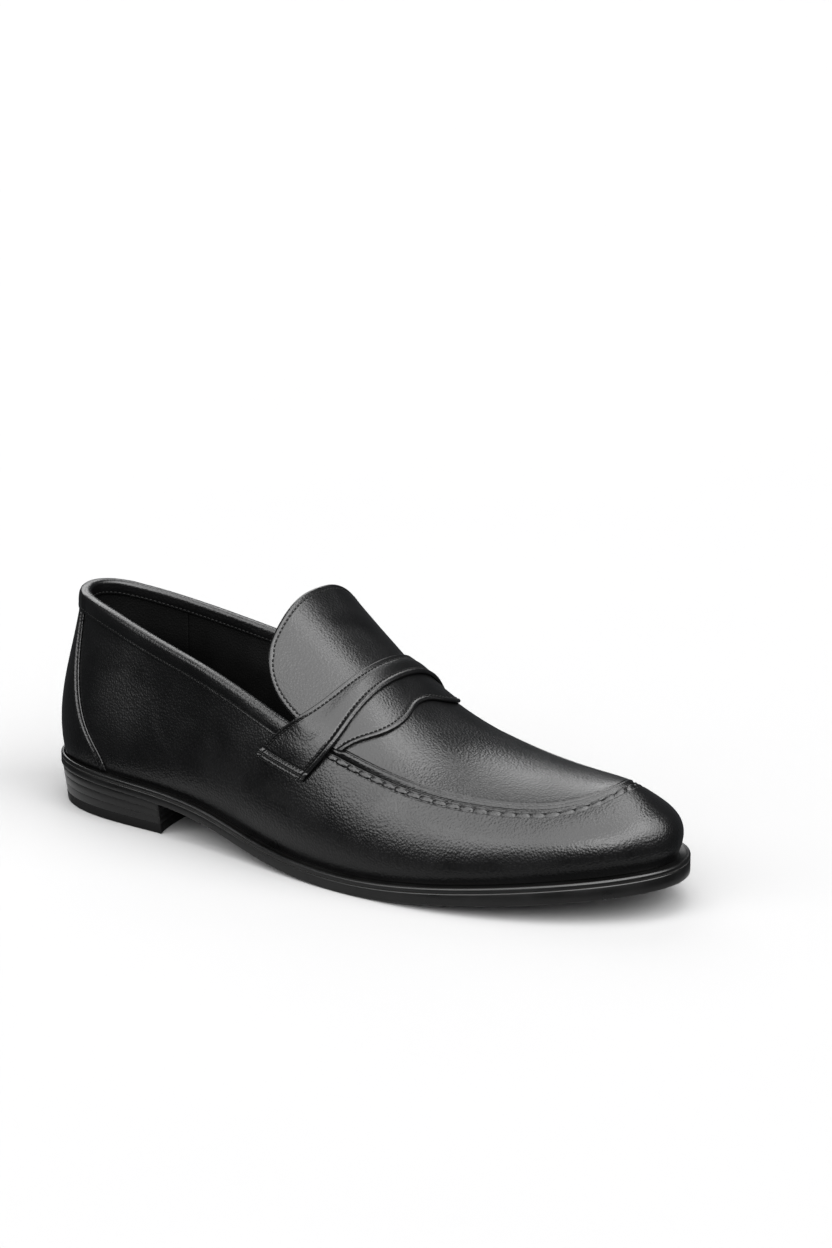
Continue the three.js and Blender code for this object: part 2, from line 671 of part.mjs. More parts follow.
// The filler, with a groove in its underside for the shank.
function filler() {
  const body = slab(BOTTOM_STATIONS, inset(WELT_INNER + GAP), fillerTop, fillerUnder);
  const [rear, front] = SHANK_X;
  const stations = range(13).map((i) => lerp(rear - 1, front + 1, i / 12));
  const groove = strip(stations, () => SHANK_HALF_WIDTH + 1,
    (x) => fillerUnder(x) + SHANK_THICK + 0.4, (x) => fillerUnder(x) - 3);
  return fromSolid(solid(body).subtract(solid(groove)));
}

const padUnder = (x) => insoleTop(x) + LIFT_GAP;
const padTop = (x) => padUnder(x) + padRise(x);
const sockTop = (x) => sockUnder(x) + SOCK_THICK;
const sockUnder = (x) => insoleTop(x) + LIFT_GAP + padRise(x) + (x < PAD_FRONT_X ? LIFT_GAP : 0);
const PAD_STATIONS = BOTTOM_STATIONS.filter((u) => featherPlan(u)[0] < PAD_FRONT_X - 6);

// ---------------------------------------------------------------- the shoe
const shoe = new THREE.Group();
const part = (name, geometry, look) => shoe.add(mesh(name, geometry, ...look));

// The wall is one piece all round, with its back seam a hair open at the heel.
const WALL_ROUND = [0.001, ...stationsFrom(1, ROUND - 1), 0.999];
part("vamp_wall", layer(wallPlace, WALL_ROUND, WALL_V, 0, LEATHER), BLACK_LEATHER);
part("back_counter",
  layer(counterPlace, COUNTER_ACROSS, COUNTER_V, COUNTER_OUTER, COUNTER_INNER), BLACK_LEATHER);
part("apron", layer(apronPlace(SEAM_GAP), APRON_STATIONS, ARCH_S, 0, LEATHER), BLACK_LEATHER);
part("plug_lining", layer(apronPlace(0), PLUG_LINING_STATIONS, ARCH_S.slice(1, -1),
  LEATHER + GAP, LEATHER + GAP + LINING), BLACK_LINING);
const collarStations = stationsFrom(-BINDING_END, BINDING_END);
part("topline_binding", sweep(collarStations.map(bindingSection), false), BLACK_LEATHER);
part("saddle_strap", strap(), BLACK_LEATHER);
part("keeper_leaf", layer(leafPlace, LEAF_ALONG, LEAF_S, -LEAF_LIFT - LEAF_THICK, -LEAF_LIFT), BLACK_LEATHER);

// Heights of the linings and stiffeners, and the stations where one lining hands over to the next.
const RIM_V = [0, 0.16, 0.34, 0.52, 0.7, 0.85, 0.985];
const SEAM_V = [0, 0.16, 0.34, 0.52, 0.7, 0.88];
const STIFFENER_V = [0.01, 0.16, 0.34, 0.5, 0.62];
const GRIP_END = 6;
const QUARTER_END = 18;
const STIFFENER_END = 9;
const PUFF_START = 29;
const STIFFENER_BACK = 2.6;
const PUFF_BACK = 2.5;
const quarterLining = (first, last) => liningLayer(first, last, RIM_V);
part("vamp_lining", liningLayer(QUARTER_END, ROUND - QUARTER_END, SEAM_V), BLACK_LINING);
part("quarter_lining_lateral", quarterLining(GRIP_END, QUARTER_END), BLACK_LINING);
part("quarter_lining_medial", quarterLining(ROUND - QUARTER_END, ROUND - GRIP_END), BLACK_LINING);
part("heel_grip", quarterLining(-GRIP_END, GRIP_END), BLACK_LINING);
part("heel_counter_stiffener",
  wallLayer(-STIFFENER_END, STIFFENER_END, STIFFENER_V, LEATHER + GAP, STIFFENER_BACK), BOARD);
part("toe_puff", wallLayer(PUFF_START, ROUND - PUFF_START, STIFFENER_V, LEATHER + GAP, PUFF_BACK), BOARD);

part("insole_board", slab(BOTTOM_STATIONS, inset(INSIDE), insoleTop, insoleUnder), BOARD);
part("shank", shank(), STEEL);
part("bottom_filler", filler(), BOARD);
part("heel_pad", slab(PAD_STATIONS, inset(INSIDE + PAD_MARGIN), padTop, padUnder), BLACK_LINING);
part("sock_liner", slab(BOTTOM_STATIONS, inset(INSIDE + SOCK_MARGIN), sockTop, sockUnder), BLACK_LINING);
part("welt", welt(), SOLE_EDGE);
part("outsole", slab(BOTTOM_STATIONS, (u) => soleOut(u)[0], soleTop, soleUnderside, WIDE_ACROSS), SOLE_EDGE);
for (const i of range(LIFT_COUNT)) {
  part(`heel_lift_${i + 1}`, heelLift(1 - (i + 1) / LIFT_COUNT, 1 - i / LIFT_COUNT), SOLE_EDGE);
}
part("top_lift", drilledTopLift(), [0x161616, 0.8]);
NAIL_SPOTS.forEach((spot, i) => {
  part(`heel_nail_${i + 1}`, nailShape(NAIL_RADIUS, NAIL_SINK, TOP_LIFT - GAP, spot), STEEL);
});

export default shoe;
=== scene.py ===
"""Penny loafer, right shoe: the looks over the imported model.

Lengths in this file are millimetres in the frame of the shoemaker's last, where the tables below live;
add_mesh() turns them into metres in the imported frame. +X runs to the toe, +Y inwards, +Z up.
u runs once round the shoe from the back of the heel past the outer side; v climbs the wall from
the sole to the top line. s runs across the apron and the strap, -1 on the outer seam, 1 on the inner one.
"""
import math

import bmesh
import bpy
import numpy as np
from mathutils import Matrix, Vector


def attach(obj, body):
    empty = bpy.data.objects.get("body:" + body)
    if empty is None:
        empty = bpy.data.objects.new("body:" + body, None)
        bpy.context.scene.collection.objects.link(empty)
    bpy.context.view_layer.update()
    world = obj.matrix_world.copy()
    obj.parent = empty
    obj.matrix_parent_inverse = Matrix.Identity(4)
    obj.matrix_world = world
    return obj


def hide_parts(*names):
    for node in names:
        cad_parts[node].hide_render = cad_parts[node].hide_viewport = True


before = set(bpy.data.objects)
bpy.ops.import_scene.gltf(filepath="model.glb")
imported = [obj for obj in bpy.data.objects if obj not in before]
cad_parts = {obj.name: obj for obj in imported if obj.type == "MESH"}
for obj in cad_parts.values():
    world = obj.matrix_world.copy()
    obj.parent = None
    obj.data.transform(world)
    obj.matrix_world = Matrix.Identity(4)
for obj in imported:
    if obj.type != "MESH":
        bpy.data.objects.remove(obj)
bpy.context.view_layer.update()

# ------------------------------------------------------------------ driving dimensions, as in the CAD model
CENTRE = np.array([-0.5, -0.85, 0.0])
STATIONS = np.array([0, 0.032, 0.075, 0.125, 0.172, 0.219, 0.267, 0.316, 0.363, 0.408, 0.45, 0.478, 0.5])
# Feather line: x, y outer side, y inner side.
FEATHER_LINE = np.array([
    (-146, 0, 0), (-139.5, -18, 18), (-116, -30.7, 29.5), (-82, -33.8, 31), (-50, -36.3, 30),
    (-18, -41.3, 32), (14, -46.3, 37.5), (47, -47.4, 44), (78, -43, 45), (107, -32.6, 39),
    (130, -18, 27.3), (140, -6, 14.2), (142.5, 4, 4)])
# Top line: x, y outer, y inner, z outer, z inner.
TOP_LINE = np.array([
    (-138.3, 0, 0, 89.6, 89.6), (-133, -12.5, 12.5, 88.8, 88), (-112, -23.3, 24.3, 86.3, 82.4),
    (-84, -29.5, 29.7, 80.3, 76.5), (-55, -33.9, 32.9, 73.9, 70.4), (-28, -37.2, 34.9, 66.2, 63.2),
    (2, -39.7, 36.6, 56.2, 54.9), (32, -39.2, 37.8, 47.3, 48.4), (60, -35.7, 38.2, 41.6, 42.2),
    (86, -29, 34.8, 39.7, 39.9), (108, -19.4, 27.3, 41.2, 41), (120, -8.2, 15.8, 45.6, 44.6),
    (124.3, 3.5, 3.5, 48.6, 48.6)])
FEATHER_X = [-146, -110, -80, -50, -20, 10, 40, 70, 100, 130, 146]
FEATHER_Z = [21.4, 20.7, 19.5, 16.3, 10.2, 7.3, 7.6, 10.4, 14.2, 18.2, 20.2]
WALL_STATIONS = [0, 0.075, 0.172, 0.267, 0.363, 0.45, 0.5, 0.55, 0.637, 0.733, 0.828, 0.925, 1]
WALL_HANDLES = [
    (26, 10, 26, 82), (20, 14, 22, 86), (18, 16, 20, 88), (15, 14, 16, 72), (12, 16, 14, 50),
    (14, 22, 16.5, 32), (16, 24.5, 18, 25), (14, 22, 16.5, 32), (12, 14, 14, 50), (15, 12, 16, 70),
    (18, 10, 20, 88), (20, 12, 22, 86), (26, 10, 26, 82)]
RIDGE_X = [-34, -22, -10, 2, 14, 26, 40, 56, 75, 95, 112, 124.3]
RIDGE_Z = [116.6, 107.6, 97.6, 87.8, 78.2, 69, 60, 53, 48.8, 47.3, 47.4, 48.6]
ARCH_X = [-34, 0, 20, 50, 80, 125]
ARCH_POWER = [2.5, 2.5, 2.4, 2.15, 2, 2]
TONGUE_U = 20 / 72
TONGUE_BEHIND = [0, 6, 15, 27, 43]
TONGUE_RISE = [0, 4.6, 11.2, 20.7, 33]
TONGUE_TOP_X, TONGUE_TOP_DIP = -19.6, 1.6
TONGUE_CORNER, TONGUE_CORNER_START = 7.5, 0.8
SOLE_U = [0, 0.07, 0.15, 0.25, 0.35, 0.43, 0.5, 0.57, 0.65, 0.75, 0.85, 0.93, 1]
SOLE_OUT = [2.3, 2.9, 3.3, 4, 4.7, 5.3, 4.8, 5.3, 4.7, 4, 3.3, 2.9, 2.3]
SOLE_X = [-146, -80, 0, 40, 70, 130, 146]
SOLE_THICK = [5.3, 5.8, 6.8, 7.1, 7.4, 8, 8]
WELT_DROP, WELT_THICK, WELT_INNER = 0.3, 2.1, 5.0
TOP_LIFT, LIFT_COUNT = 4.3, 3
HEEL_INSET, HEEL_TAPER = 0.5, 1.6
BREAST_U, BREAST_HOLLOW = 0.1347, 6.5
LEATHER, LINING, GAP = 1.3, 0.8, 0.3
LINING_DEEP, LINING_SHALLOW = 2.9, 1.6


# ------------------------------------------------------------------ small mathematics
def spline(knots, values):
    """Natural cubic spline through the values; straight second derivatives at its two ends are zero."""
    k = np.asarray(knots, float)
    v = np.asarray(values, float)
    h = np.diff(k)
    n = len(k)
    system = np.eye(n)
    right = np.zeros(v.shape)
    for i in range(1, n - 1):
        system[i, i - 1:i + 2] = h[i - 1], 2 * (h[i - 1] + h[i]), h[i]
        right[i] = 6 * ((v[i + 1] - v[i]) / h[i] - (v[i] - v[i - 1]) / h[i - 1])
    bend = np.linalg.solve(system, right)

    def curve(x):
        x = np.asarray(x, float)
        i = np.clip(np.searchsorted(k, x) - 1, 0, n - 2)
        a = (k[i + 1] - x) / h[i]
        width = h[i] ** 2 / 6
        if v.ndim > 1:
            a = a[..., None]
            width = width[..., None]
        b = 1 - a
        return a * v[i] + b * v[i + 1] + ((a ** 3 - a) * bend[i] + (b ** 3 - b) * bend[i + 1]) * width

    return curve


def loop_spline(knots, values):
    """A spline that closes on itself: four knots are repeated past each end of u = 0 to 1."""
    k = np.asarray(knots, float)
    v = np.asarray(values, float)
    curve = spline(np.concatenate([k[-5:-1] - 1, k, k[1:5] + 1]), np.concatenate([v[-5:-1], v, v[1:5]]))
    return lambda u: curve(np.mod(u, 1.0))


def unit(vectors):
    """Vectors cut to length 1."""
    return vectors / np.maximum(np.linalg.norm(vectors, axis=-1, keepdims=True), 1e-9)


def smooth(x, low, high):
    """0 below low, 1 above high, an S-curve between."""
    t = np.clip((x - low) / (high - low), 0, 1)
    return t * t * (3 - 2 * t)


def run_along(lines):
    """Length run along each line of points, counted from its first point."""
    run = np.cumsum(np.linalg.norm(np.diff(lines, axis=-2), axis=-1), axis=-1)
    return np.concatenate([np.zeros((*run.shape[:-1], 1)), run], axis=-1)


def inward_of(plan, rounds=0):
    """Unit directions square to a closed plan line, pointing in, evened out with their neighbours."""
    tangent = np.roll(plan, -1, 0) - np.roll(plan, 1, 0)
    inward = unit(np.stack([-tangent[:, 1], tangent[:, 0]], -1))
    for _ in range(rounds):
        inward = unit(inward + np.roll(inward, 1, 0) + np.roll(inward, -1, 0))
    return inward


def round_trip(outer, inner):
    """Rows of the outer side, then the inner side's in turn back to the heel."""
    return np.concatenate([outer, inner[-2::-1]])


# ------------------------------------------------------------------ surfaces of the last
ROUND_U = round_trip(STATIONS, 1 - STATIONS)
feather_plan = loop_spline(ROUND_U, round_trip(FEATHER_LINE[:, [0, 1]], FEATHER_LINE[:, [0, 2]]))
top_line = loop_spline(ROUND_U, round_trip(TOP_LINE[:, [0, 1, 3]], TOP_LINE[:, [0, 2, 4]]))
feather_height = spline(FEATHER_X, FEATHER_Z)
wall_handles = loop_spline(WALL_STATIONS, WALL_HANDLES)
ridge_height = spline(RIDGE_X, RIDGE_Z)
arch_power = spline(ARCH_X, ARCH_POWER)
tongue_rise = spline(TONGUE_BEHIND, TONGUE_RISE)
sole_out = loop_spline(SOLE_U, SOLE_OUT)
sole_thickness = spline(SOLE_X, SOLE_THICK)
UP = np.array([0, 0, 1.0])


def outward(u, curve=feather_plan):
    """Level direction square to a plan curve, pointing out of the shoe."""
    step = 1e-4
    along = (curve(u + step) - curve(u - step))[..., :2]
    return unit(np.stack([along[..., 1], -along[..., 0], 0 * along[..., 0]], -1))


def feather(u, out=0.0):
    """Feather line, moved out in plan by a distance."""
    plan = feather_plan(u)
    point = np.concatenate([plan, feather_height(plan[..., 0])[..., None]], -1)
    return point + outward(u) * np.asarray(out)[..., None]


def wall(u, v):
    """The wall: a cubic Bezier from feather line to top line, leaning out below and falling above."""
    u, v = np.broadcast_arrays(np.asarray(u, float), np.asarray(v, float))
    low, lean, high, fall = np.moveaxis(wall_handles(u), -1, 0)
    lean, fall, v = np.radians(lean)[..., None], np.radians(fall)[..., None], v[..., None]
    out, bottom, top = outward(u), feather(u), top_line(u)
    lower = bottom + low[..., None] * (out * np.sin(lean) + UP * np.cos(lean))
    upper = top + high[..., None] * (out * np.cos(fall) - UP * np.sin(fall))
    w = 1 - v
    return w ** 3 * bottom + 3 * w * w * v * lower + 3 * w * v * v * upper + v ** 3 * top


def down_wall(u, distance):
    """The v that lies a short distance below the top line."""
    return 1 - distance / (3 * wall_handles(u)[..., 2])


def tongue_top_x(s):
    """The tongue's free edge: a shallow parabola, its corners pulled forward by a cubic."""
    corner = np.maximum((np.abs(s) - TONGUE_CORNER_START) / (1 - TONGUE_CORNER_START), 0)
    return TONGUE_TOP_X - TONGUE_TOP_DIP * s * s + TONGUE_CORNER * corner ** 3


def normals(points):
    """Unit normals of a grid of points, from the differences along its two directions."""
    return unit(np.cross(np.gradient(points, axis=0), np.gradient(points, axis=1)))


def wall_normal(u, v):
    """Unit normal of the wall, square to small steps along it and up it."""
    step = 1e-3
    high = np.minimum(v + step, 1)
    return unit(np.cross(wall(u + step, v) - wall(u - step, v), wall(u, high) - wall(u, high - 2 * step)))


def add_mesh(name, points, faces, material, *nodes):
    """Makes a piece from points in the last's millimetres, riding on the shoe and replacing CAD nodes."""
    mesh = bpy.data.meshes.new(name)
    mesh.from_pydata(((np.asarray(points).reshape(-1, 3) - CENTRE) / 1000).tolist(), [], faces)
    mesh.polygons.foreach_set("use_smooth", np.ones(len(mesh.polygons), bool))
    mesh.materials.append(material)
    mesh.update()
    piece = bpy.data.objects.new(name, mesh)
    bpy.context.scene.collection.objects.link(piece)
    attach(piece, "root")
    if nodes:
        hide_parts(*nodes)
    return piece


def grid_faces(rows, columns, wrap_rows=False, wrap_columns=False):
    """Quads of a grid of rows x columns points, joined round where it wraps."""
    i = np.arange(rows if wrap_rows else rows - 1)[:, None]
    j = np.arange(columns if wrap_columns else columns - 1)[None, :]
    i2, j2 = (i + 1) % rows, (j + 1) % columns
    corners = [i * columns + j, i2 * columns + j, i2 * columns + j2, i * columns + j2]
    return np.stack([np.broadcast_to(c, (i.size, j.size)) for c in corners], -1).reshape(-1, 4).tolist()


def ring(name, sections, material, *nodes):
    """A band swept right round the shoe: a closed section at each station, the last joined to the first."""
    return add_mesh(name, sections, grid_faces(*sections.shape[:2], True, True), material, *nodes)


def capped(name, sections, material, *nodes):
    """A swept piece with two ends, each closed by a fan from the middle of its section."""
    rows, columns = sections.shape[:2]
    middles = [sections[0].mean(0)[None], sections[-1].mean(0)[None]]
    points = np.concatenate([sections.reshape(-1, 3), *middles])
    first, last = rows * columns, rows * columns + 1
    j = np.arange(columns)
    j2 = (j + 1) % columns
    end = (rows - 1) * columns
    faces = grid_faces(rows, columns, False, True)
    faces += np.stack([j2, j, np.full(columns, first)], -1)[:, ::-1].tolist()
    faces += np.stack([end + j, end + j2, np.full(columns, last)], -1)[:, ::-1].tolist()
    return add_mesh(name, points, faces, material, *nodes)


def along(points, pitch):
    """Positions every pitch along a polyline, half a pitch in from its ends, as fractional indices."""
    length = run_along(points)
    count = max(int(length[-1] / pitch), 1)
    return np.interp((np.arange(count) + 0.5) / count * length[-1], length, np.arange(len(points)))


def at(points, index):
    """Reads a polyline at fractional indices."""
    whole = np.arange(len(points))
    return np.stack([np.interp(index, whole, points[:, c]) for c in range(3)], -1)


STITCH_SHARE = 0.78
STITCH_SIDES = 6
# Along a stitch: where its rings lie from end to end, and how thick the thread is there.
STITCH_RINGS = np.array([-1, -0.8, -0.35, 0.35, 0.8, 1.0])
STITCH_THICKNESS = np.array([0.25, 0.8, 1, 1, 0.8, 0.25])


def stitch_row(name, points, normal, pitch=2.3, radius=0.27, lift=0.0):
    """A row of stitches: each is a short thread, bowed like an arc, with its two ends in the leather."""
    middle = along(points, pitch)
    centre, up = at(points, middle), unit(at(normal, middle))
    tangent = unit(at(points, middle + 0.2) - at(points, middle - 0.2))
    side = np.cross(up, tangent)
    thick = radius * STITCH_THICKNESS
    height = lift + radius * (0.35 - 1.1 * STITCH_RINGS ** 4)
    angle = np.arange(STITCH_SIDES) * 2 * np.pi / STITCH_SIDES
    reach = pitch * STITCH_SHARE / 2
    core = (centre[:, None] + tangent[:, None] * (STITCH_RINGS * reach)[None, :, None]
            + up[:, None] * height[None, :, None])
    spoke = (side[:, None, None] * np.cos(angle)[None, None, :, None]
             + up[:, None, None] * np.sin(angle)[None, None, :, None])
    points = core[:, :, None] + spoke * thick[None, :, None, None]
    rings = len(STITCH_RINGS)
    quads = np.array(grid_faces(rings, STITCH_SIDES, False, True))
    last_ring = (rings - 1) * STITCH_SIDES
    caps = np.array([np.arange(STITCH_SIDES)[::-1], last_ring + np.arange(STITCH_SIDES)])
    first = (np.arange(len(centre)) * rings * STITCH_SIDES)[:, None, None]
    faces = (quads[None] + first).reshape(-1, 4).tolist()
    faces += (caps[None] + first).reshape(-1, STITCH_SIDES).tolist()
    return add_mesh(name, points, faces, THREAD)


# ------------------------------------------------------------------ materials
def tree(name):
    """A new material: gives it, a node maker, a linker, its shader and the place on the piece."""
    material = bpy.data.materials.new(name)
    material.use_nodes = True
    nodes, links = material.node_tree.nodes, material.node_tree.links
    shader = nodes["Principled BSDF"]

    def make(kind, **settings):
        """A new node, its inputs and options set by name."""
        node = nodes.new(kind)
        for key, value in settings.items():
            if key in node.inputs:
                node.inputs[key].default_value = value
            else:
                setattr(node, key, value)
        return node

    return material, make, links.new, shader, make("ShaderNodeTexCoord").outputs["Object"]


def finish_shader(link, shader, normal, colour, roughness, specular=0.5):
    """Gives a shader its bumps, its colour, its roughness and how strongly it mirrors."""
    link(normal, shader.inputs["Normal"])
    link(colour, shader.inputs["Base Color"])
    link(roughness, shader.inputs["Roughness"])
    shader.inputs["Specular IOR Level"].default_value = specular


def stretched(make, link, place, scale):
    """The place on the piece scaled along its three axes, so that what is read there is drawn out."""
    node = make("ShaderNodeMapping")
    node.inputs["Scale"].default_value = scale
    link(place, node.inputs["Vector"])
    return node.outputs["Vector"]


def noise(make, link, place, scale, detail=3.0, distortion=0.0):
    """Cloudy values about 0.5, at a scale of waves to the metre."""
    node = make("ShaderNodeTexNoise", Scale=scale, Detail=detail, Distortion=distortion)
    link(place, node.inputs["Vector"])
    return node.outputs["Fac"]


def mapped(make, link, value, low, high, from_low=0.0, from_high=1.0):
    """A value stretched from one range to another."""
    node = make("ShaderNodeMapRange")
    for socket, number in zip(node.inputs[1:5], (from_low, from_high, low, high)):
        socket.default_value = number
    link(value, node.inputs[0])
    return node.outputs[0]


def combine(make, link, operation, first, second):
    """Two values, or a value and a number, brought together."""
    node = make("ShaderNodeMath", operation=operation)
    for socket, value in zip(node.inputs, (first, second)):
        if isinstance(value, (int, float)):
            socket.default_value = value
        else:
            link(value, socket)
    return node.outputs[0]


def weighted(make, link, first, weight, second, other_weight):
    """The sum of two values, each times its weight."""
    return combine(make, link, "ADD", combine(make, link, "MULTIPLY", first, weight),
                   combine(make, link, "MULTIPLY", second, other_weight))


def colour_between(make, link, share, dark, light):
    """A mix of two colours."""
    node = make("ShaderNodeMix", data_type="RGBA")
    node.inputs[6].default_value = (*dark, 1)
    node.inputs[7].default_value = (*light, 1)
    link(share, node.inputs[0])
    return node.outputs[2]


def bump(make, link, height, distance, strength, before=None):
    """A height in metres read as relief, over an earlier relief if there is one."""
    node = make("ShaderNodeBump", Strength=strength, Distance=distance)
    link(height, node.inputs["Height"])
    if before is not None:
        link(before, node.inputs["Normal"])
    return node.outputs["Normal"]


def grained_leather(name, dark, light, rough, grain=1050.0, depth=0.0001, creases=0.05, specular=0.25):
    """Corrected-grain leather: pebbles with fine valleys, faint creases, uneven dye and a satin finish."""
    material, make, link, shader, place = tree(name)
    warp = make("ShaderNodeTexNoise", Scale=grain * 0.5, Detail=1.0)
    link(place, warp.inputs["Vector"])
    shifted = make("ShaderNodeMix", data_type="VECTOR")
    shifted.inputs[0].default_value = 0.0002
    link(place, shifted.inputs[4])
    link(warp.outputs["Color"], shifted.inputs[5])
    cells = make("ShaderNodeTexVoronoi", feature="SMOOTH_F1", Scale=grain, Smoothness=0.12)
    link(shifted.outputs[1], cells.inputs["Vector"])
    pebble = mapped(make, link, cells.outputs["Distance"], 1.0, 0.0, 0.1, 0.75)
    pores = noise(make, link, place, grain * 3.1, 2.0)
    height = combine(make, link, "ADD", pebble, combine(make, link, "MULTIPLY", pores, 0.06))
    soft = noise(make, link, place, 45.0, 4.0, 0.6)
    patch = mapped(make, link, soft, 0.85, 1.05, 0.3, 0.7)
    height = combine(make, link, "MULTIPLY", height, patch)
    waves = bump(make, link, noise(make, link, place, 60.0, 1.0), 0.00025, creases)
    dye = weighted(make, link, soft, 0.6, pebble, 0.4)
    finish_shader(link, shader, bump(make, link, height, depth, 0.75, waves),
                  colour_between(make, link, dye, dark, light),
                  mapped(make, link, soft, rough - 0.05, rough + 0.06, 0.3, 0.7), specular)
    return material


def burnished_edge(name, dark, light, rough, layers=900.0):
    """Cut and inked leather edge: faint fibre layers lying level, waxed and slightly uneven."""
    material, make, link, shader, place = tree(name)
    fibres = noise(make, link, stretched(make, link, place, (0.05, 0.05, 1.0)), layers, 3.0)
    patch = noise(make, link, place, 60.0, 3.0)
    fine = noise(make, link, place, 1500.0, 2.0)
    height = weighted(make, link, fibres, 0.6, fine, 0.25)
    share = weighted(make, link, fibres, 0.5, patch, 0.5)
    finish_shader(link, shader, bump(make, link, height, 0.00008, 0.35),
                  colour_between(make, link, share, dark, light),
                  mapped(make, link, patch, rough - 0.06, rough + 0.08, 0.3, 0.7), 0.25)
    return material


def moulded_rubber(name, dark, light, rough):
    """Heel-tip rubber: matt, finely sandy, with a few scuffed patches."""
    material, make, link, shader, place = tree(name)
    sand = noise(make, link, place, 2600.0, 2.0)
    scuff = noise(make, link, place, 180.0, 4.0, 1.0)
    finish_shader(link, shader, bump(make, link, sand, 0.00006, 0.5),
                  colour_between(make, link, scuff, dark, light),
                  mapped(make, link, scuff, rough - 0.08, rough + 0.1, 0.3, 0.7), 0.08)
    return material


def twisted_thread(name, dark, light):
    """Waxed polyester thread: a fine twist across each stitch."""
    material, make, link, shader, place = tree(name)
    twist = noise(make, link, place, 4200.0, 1.0)
    finish_shader(link, shader, bump(make, link, twist, 0.00006, 0.6),
                  colour_between(make, link, twist, dark, light), mapped(make, link, twist, 0.5, 0.7), 0.12)
    return material


def pressed_board(name, dark, light, scale, rough):
    """Fibre board, cork or foam: speckled crumbs with a rough surface."""
    material, make, link, shader, place = tree(name)
    crumbs = make("ShaderNodeTexVoronoi", Scale=scale)
    link(place, crumbs.inputs["Vector"])
    cloud = noise(make, link, place, scale * 2, 3.0)
    speck = combine(make, link, "MULTIPLY", crumbs.outputs["Distance"], cloud)
    share = mapped(make, link, speck, 0, 1, 0, 0.4)
    finish_shader(link, shader, bump(make, link, speck, 0.0002, 0.5),
                  colour_between(make, link, share, dark, light),
                  mapped(make, link, speck, rough - 0.1, rough, 0, 0.4))
    return material


def drawn_steel(name):
    """Steel of the nails and shank: fine drawing lines along the shoe and dull spots."""
    material, make, link, shader, place = tree(name)
    lines = noise(make, link, stretched(make, link, place, (0.08, 1.0, 1.0)), 3500.0, 2.0)
    spots = noise(make, link, place, 500.0, 3.0)
    finish_shader(link, shader, bump(make, link, lines, 0.00003, 0.3),
                  colour_between(make, link, spots, (0.35, 0.34, 0.32), (0.62, 0.61, 0.6)),
                  mapped(make, link, spots, 0.25, 0.45))
    shader.inputs["Metallic"].default_value = 1.0
    return material


DARK_DYE = (0.0004, 0.0004, 0.00042)
LIGHT_DYE = (0.0009, 0.0009, 0.001)
UPPER = grained_leather("upper_leather", DARK_DYE, LIGHT_DYE, 0.32, 1000.0)
TRIM = grained_leather("trim_leather", DARK_DYE, LIGHT_DYE, 0.31, 1100.0, 0.00008, 0.04)
LINED = grained_leather("lining_leather", (0.0001, 0.0001, 0.0001), (0.0003, 0.0003, 0.0003), 0.55,
                        1200.0, 0.00008, 0.04, 0.08)
EDGE = burnished_edge("sole_edge", (0.0004, 0.0004, 0.0004), (0.0009, 0.0009, 0.0009), 0.3)
BOTTOM = grained_leather("sole_bottom", (0.01, 0.0095, 0.009), (0.02, 0.019, 0.018), 0.5,
                         900.0, 0.0001, 0.1)
RUBBER = moulded_rubber("heel_tip_rubber", (0.0006, 0.0006, 0.0006), (0.0014, 0.0014, 0.0014), 0.6)
THREAD = twisted_thread("sewing_thread", (0.0003, 0.0003, 0.0003), (0.0006, 0.0006, 0.0006))
BOARD = pressed_board("fibre_board", (0.3, 0.2, 0.11), (0.55, 0.4, 0.25), 900.0, 0.9)
CORK = pressed_board("cork_filler", (0.22, 0.13, 0.06), (0.5, 0.35, 0.2), 500.0, 0.9)
FOAM = pressed_board("pad_foam", (0.02, 0.02, 0.02), (0.06, 0.06, 0.06), 1800.0, 0.95)
STEEL = drawn_steel("nail_steel")


# ------------------------------------------------------------------ leather pieces as closed sheets
def distances(core):
    """How far each point of a grid is from the grid's four borders, along its rows and columns."""
    down = run_along(np.swapaxes(core, 0, 1)).T
    across = run_along(core)
    return down, down[-1:] - down, across, across[:, -1:] - across


EDGE_TURN = np.radians([22.5, 45, 67.5])


def sheet(name, core, square, thickness, material, nodes=(), relief=None, wrap=False):
    """A closed sheet of leather whose outer face is the grid core, with rounded edges.

    square holds the normals, relief the height of seams and grooves over the smooth face.
    """
    radius = thickness * 0.45
    upper = core if relief is None else core + square * relief[..., None]
    lower = core - square * thickness
    angles = np.concatenate([EDGE_TURN, [np.pi / 2], np.pi - EDGE_TURN[::-1]])

    def edge(line, away, normal):
        """Points of the half-round edge from the outer face to the inner one, along axis 1."""
        out = np.sin(angles)[None, :, None] * away[:, None] * radius
        down = (1 - np.cos(angles))[None, :, None] * normal[:, None] * thickness / 2
        return line[:, None] + out - down

    across = unit(np.gradient(core, axis=1))
    high = edge(core[:, -1], across[:, -1], square[:, -1])
    low = edge(core[:, 0], -across[:, 0], square[:, 0])[:, ::-1]
    profile = np.concatenate([upper, high, lower[:, ::-1], low], axis=1)
    if wrap:
        return ring(name, profile, material, *nodes)
    away = unit(np.gradient(core, axis=0))
    middle = (core + lower) / 2

    def round_profile(line):
        """One value for each point of the profile, from one for each point of the core."""
        return np.concatenate([line, np.repeat(line[-1:], len(angles), 0),
                               line[::-1], np.repeat(line[:1], len(angles), 0)])

    def end(row, sign):
        """The same profile squeezed and moved out, in steps, to round off an end of the sheet."""
        step, flat = round_profile(away[row] * sign), round_profile(middle[row])
        return np.array([flat + (profile[row] - flat) * math.cos(angle) + step * radius * math.sin(angle)
                         for angle in [*EDGE_TURN, np.pi / 2]])

    sections = np.concatenate([end(0, -1)[::-1], profile, end(-1, 1)])
    piece = add_mesh(name, sections, grid_faces(*sections.shape[:2], False, True), material, *nodes)
    weld(piece)
    return piece


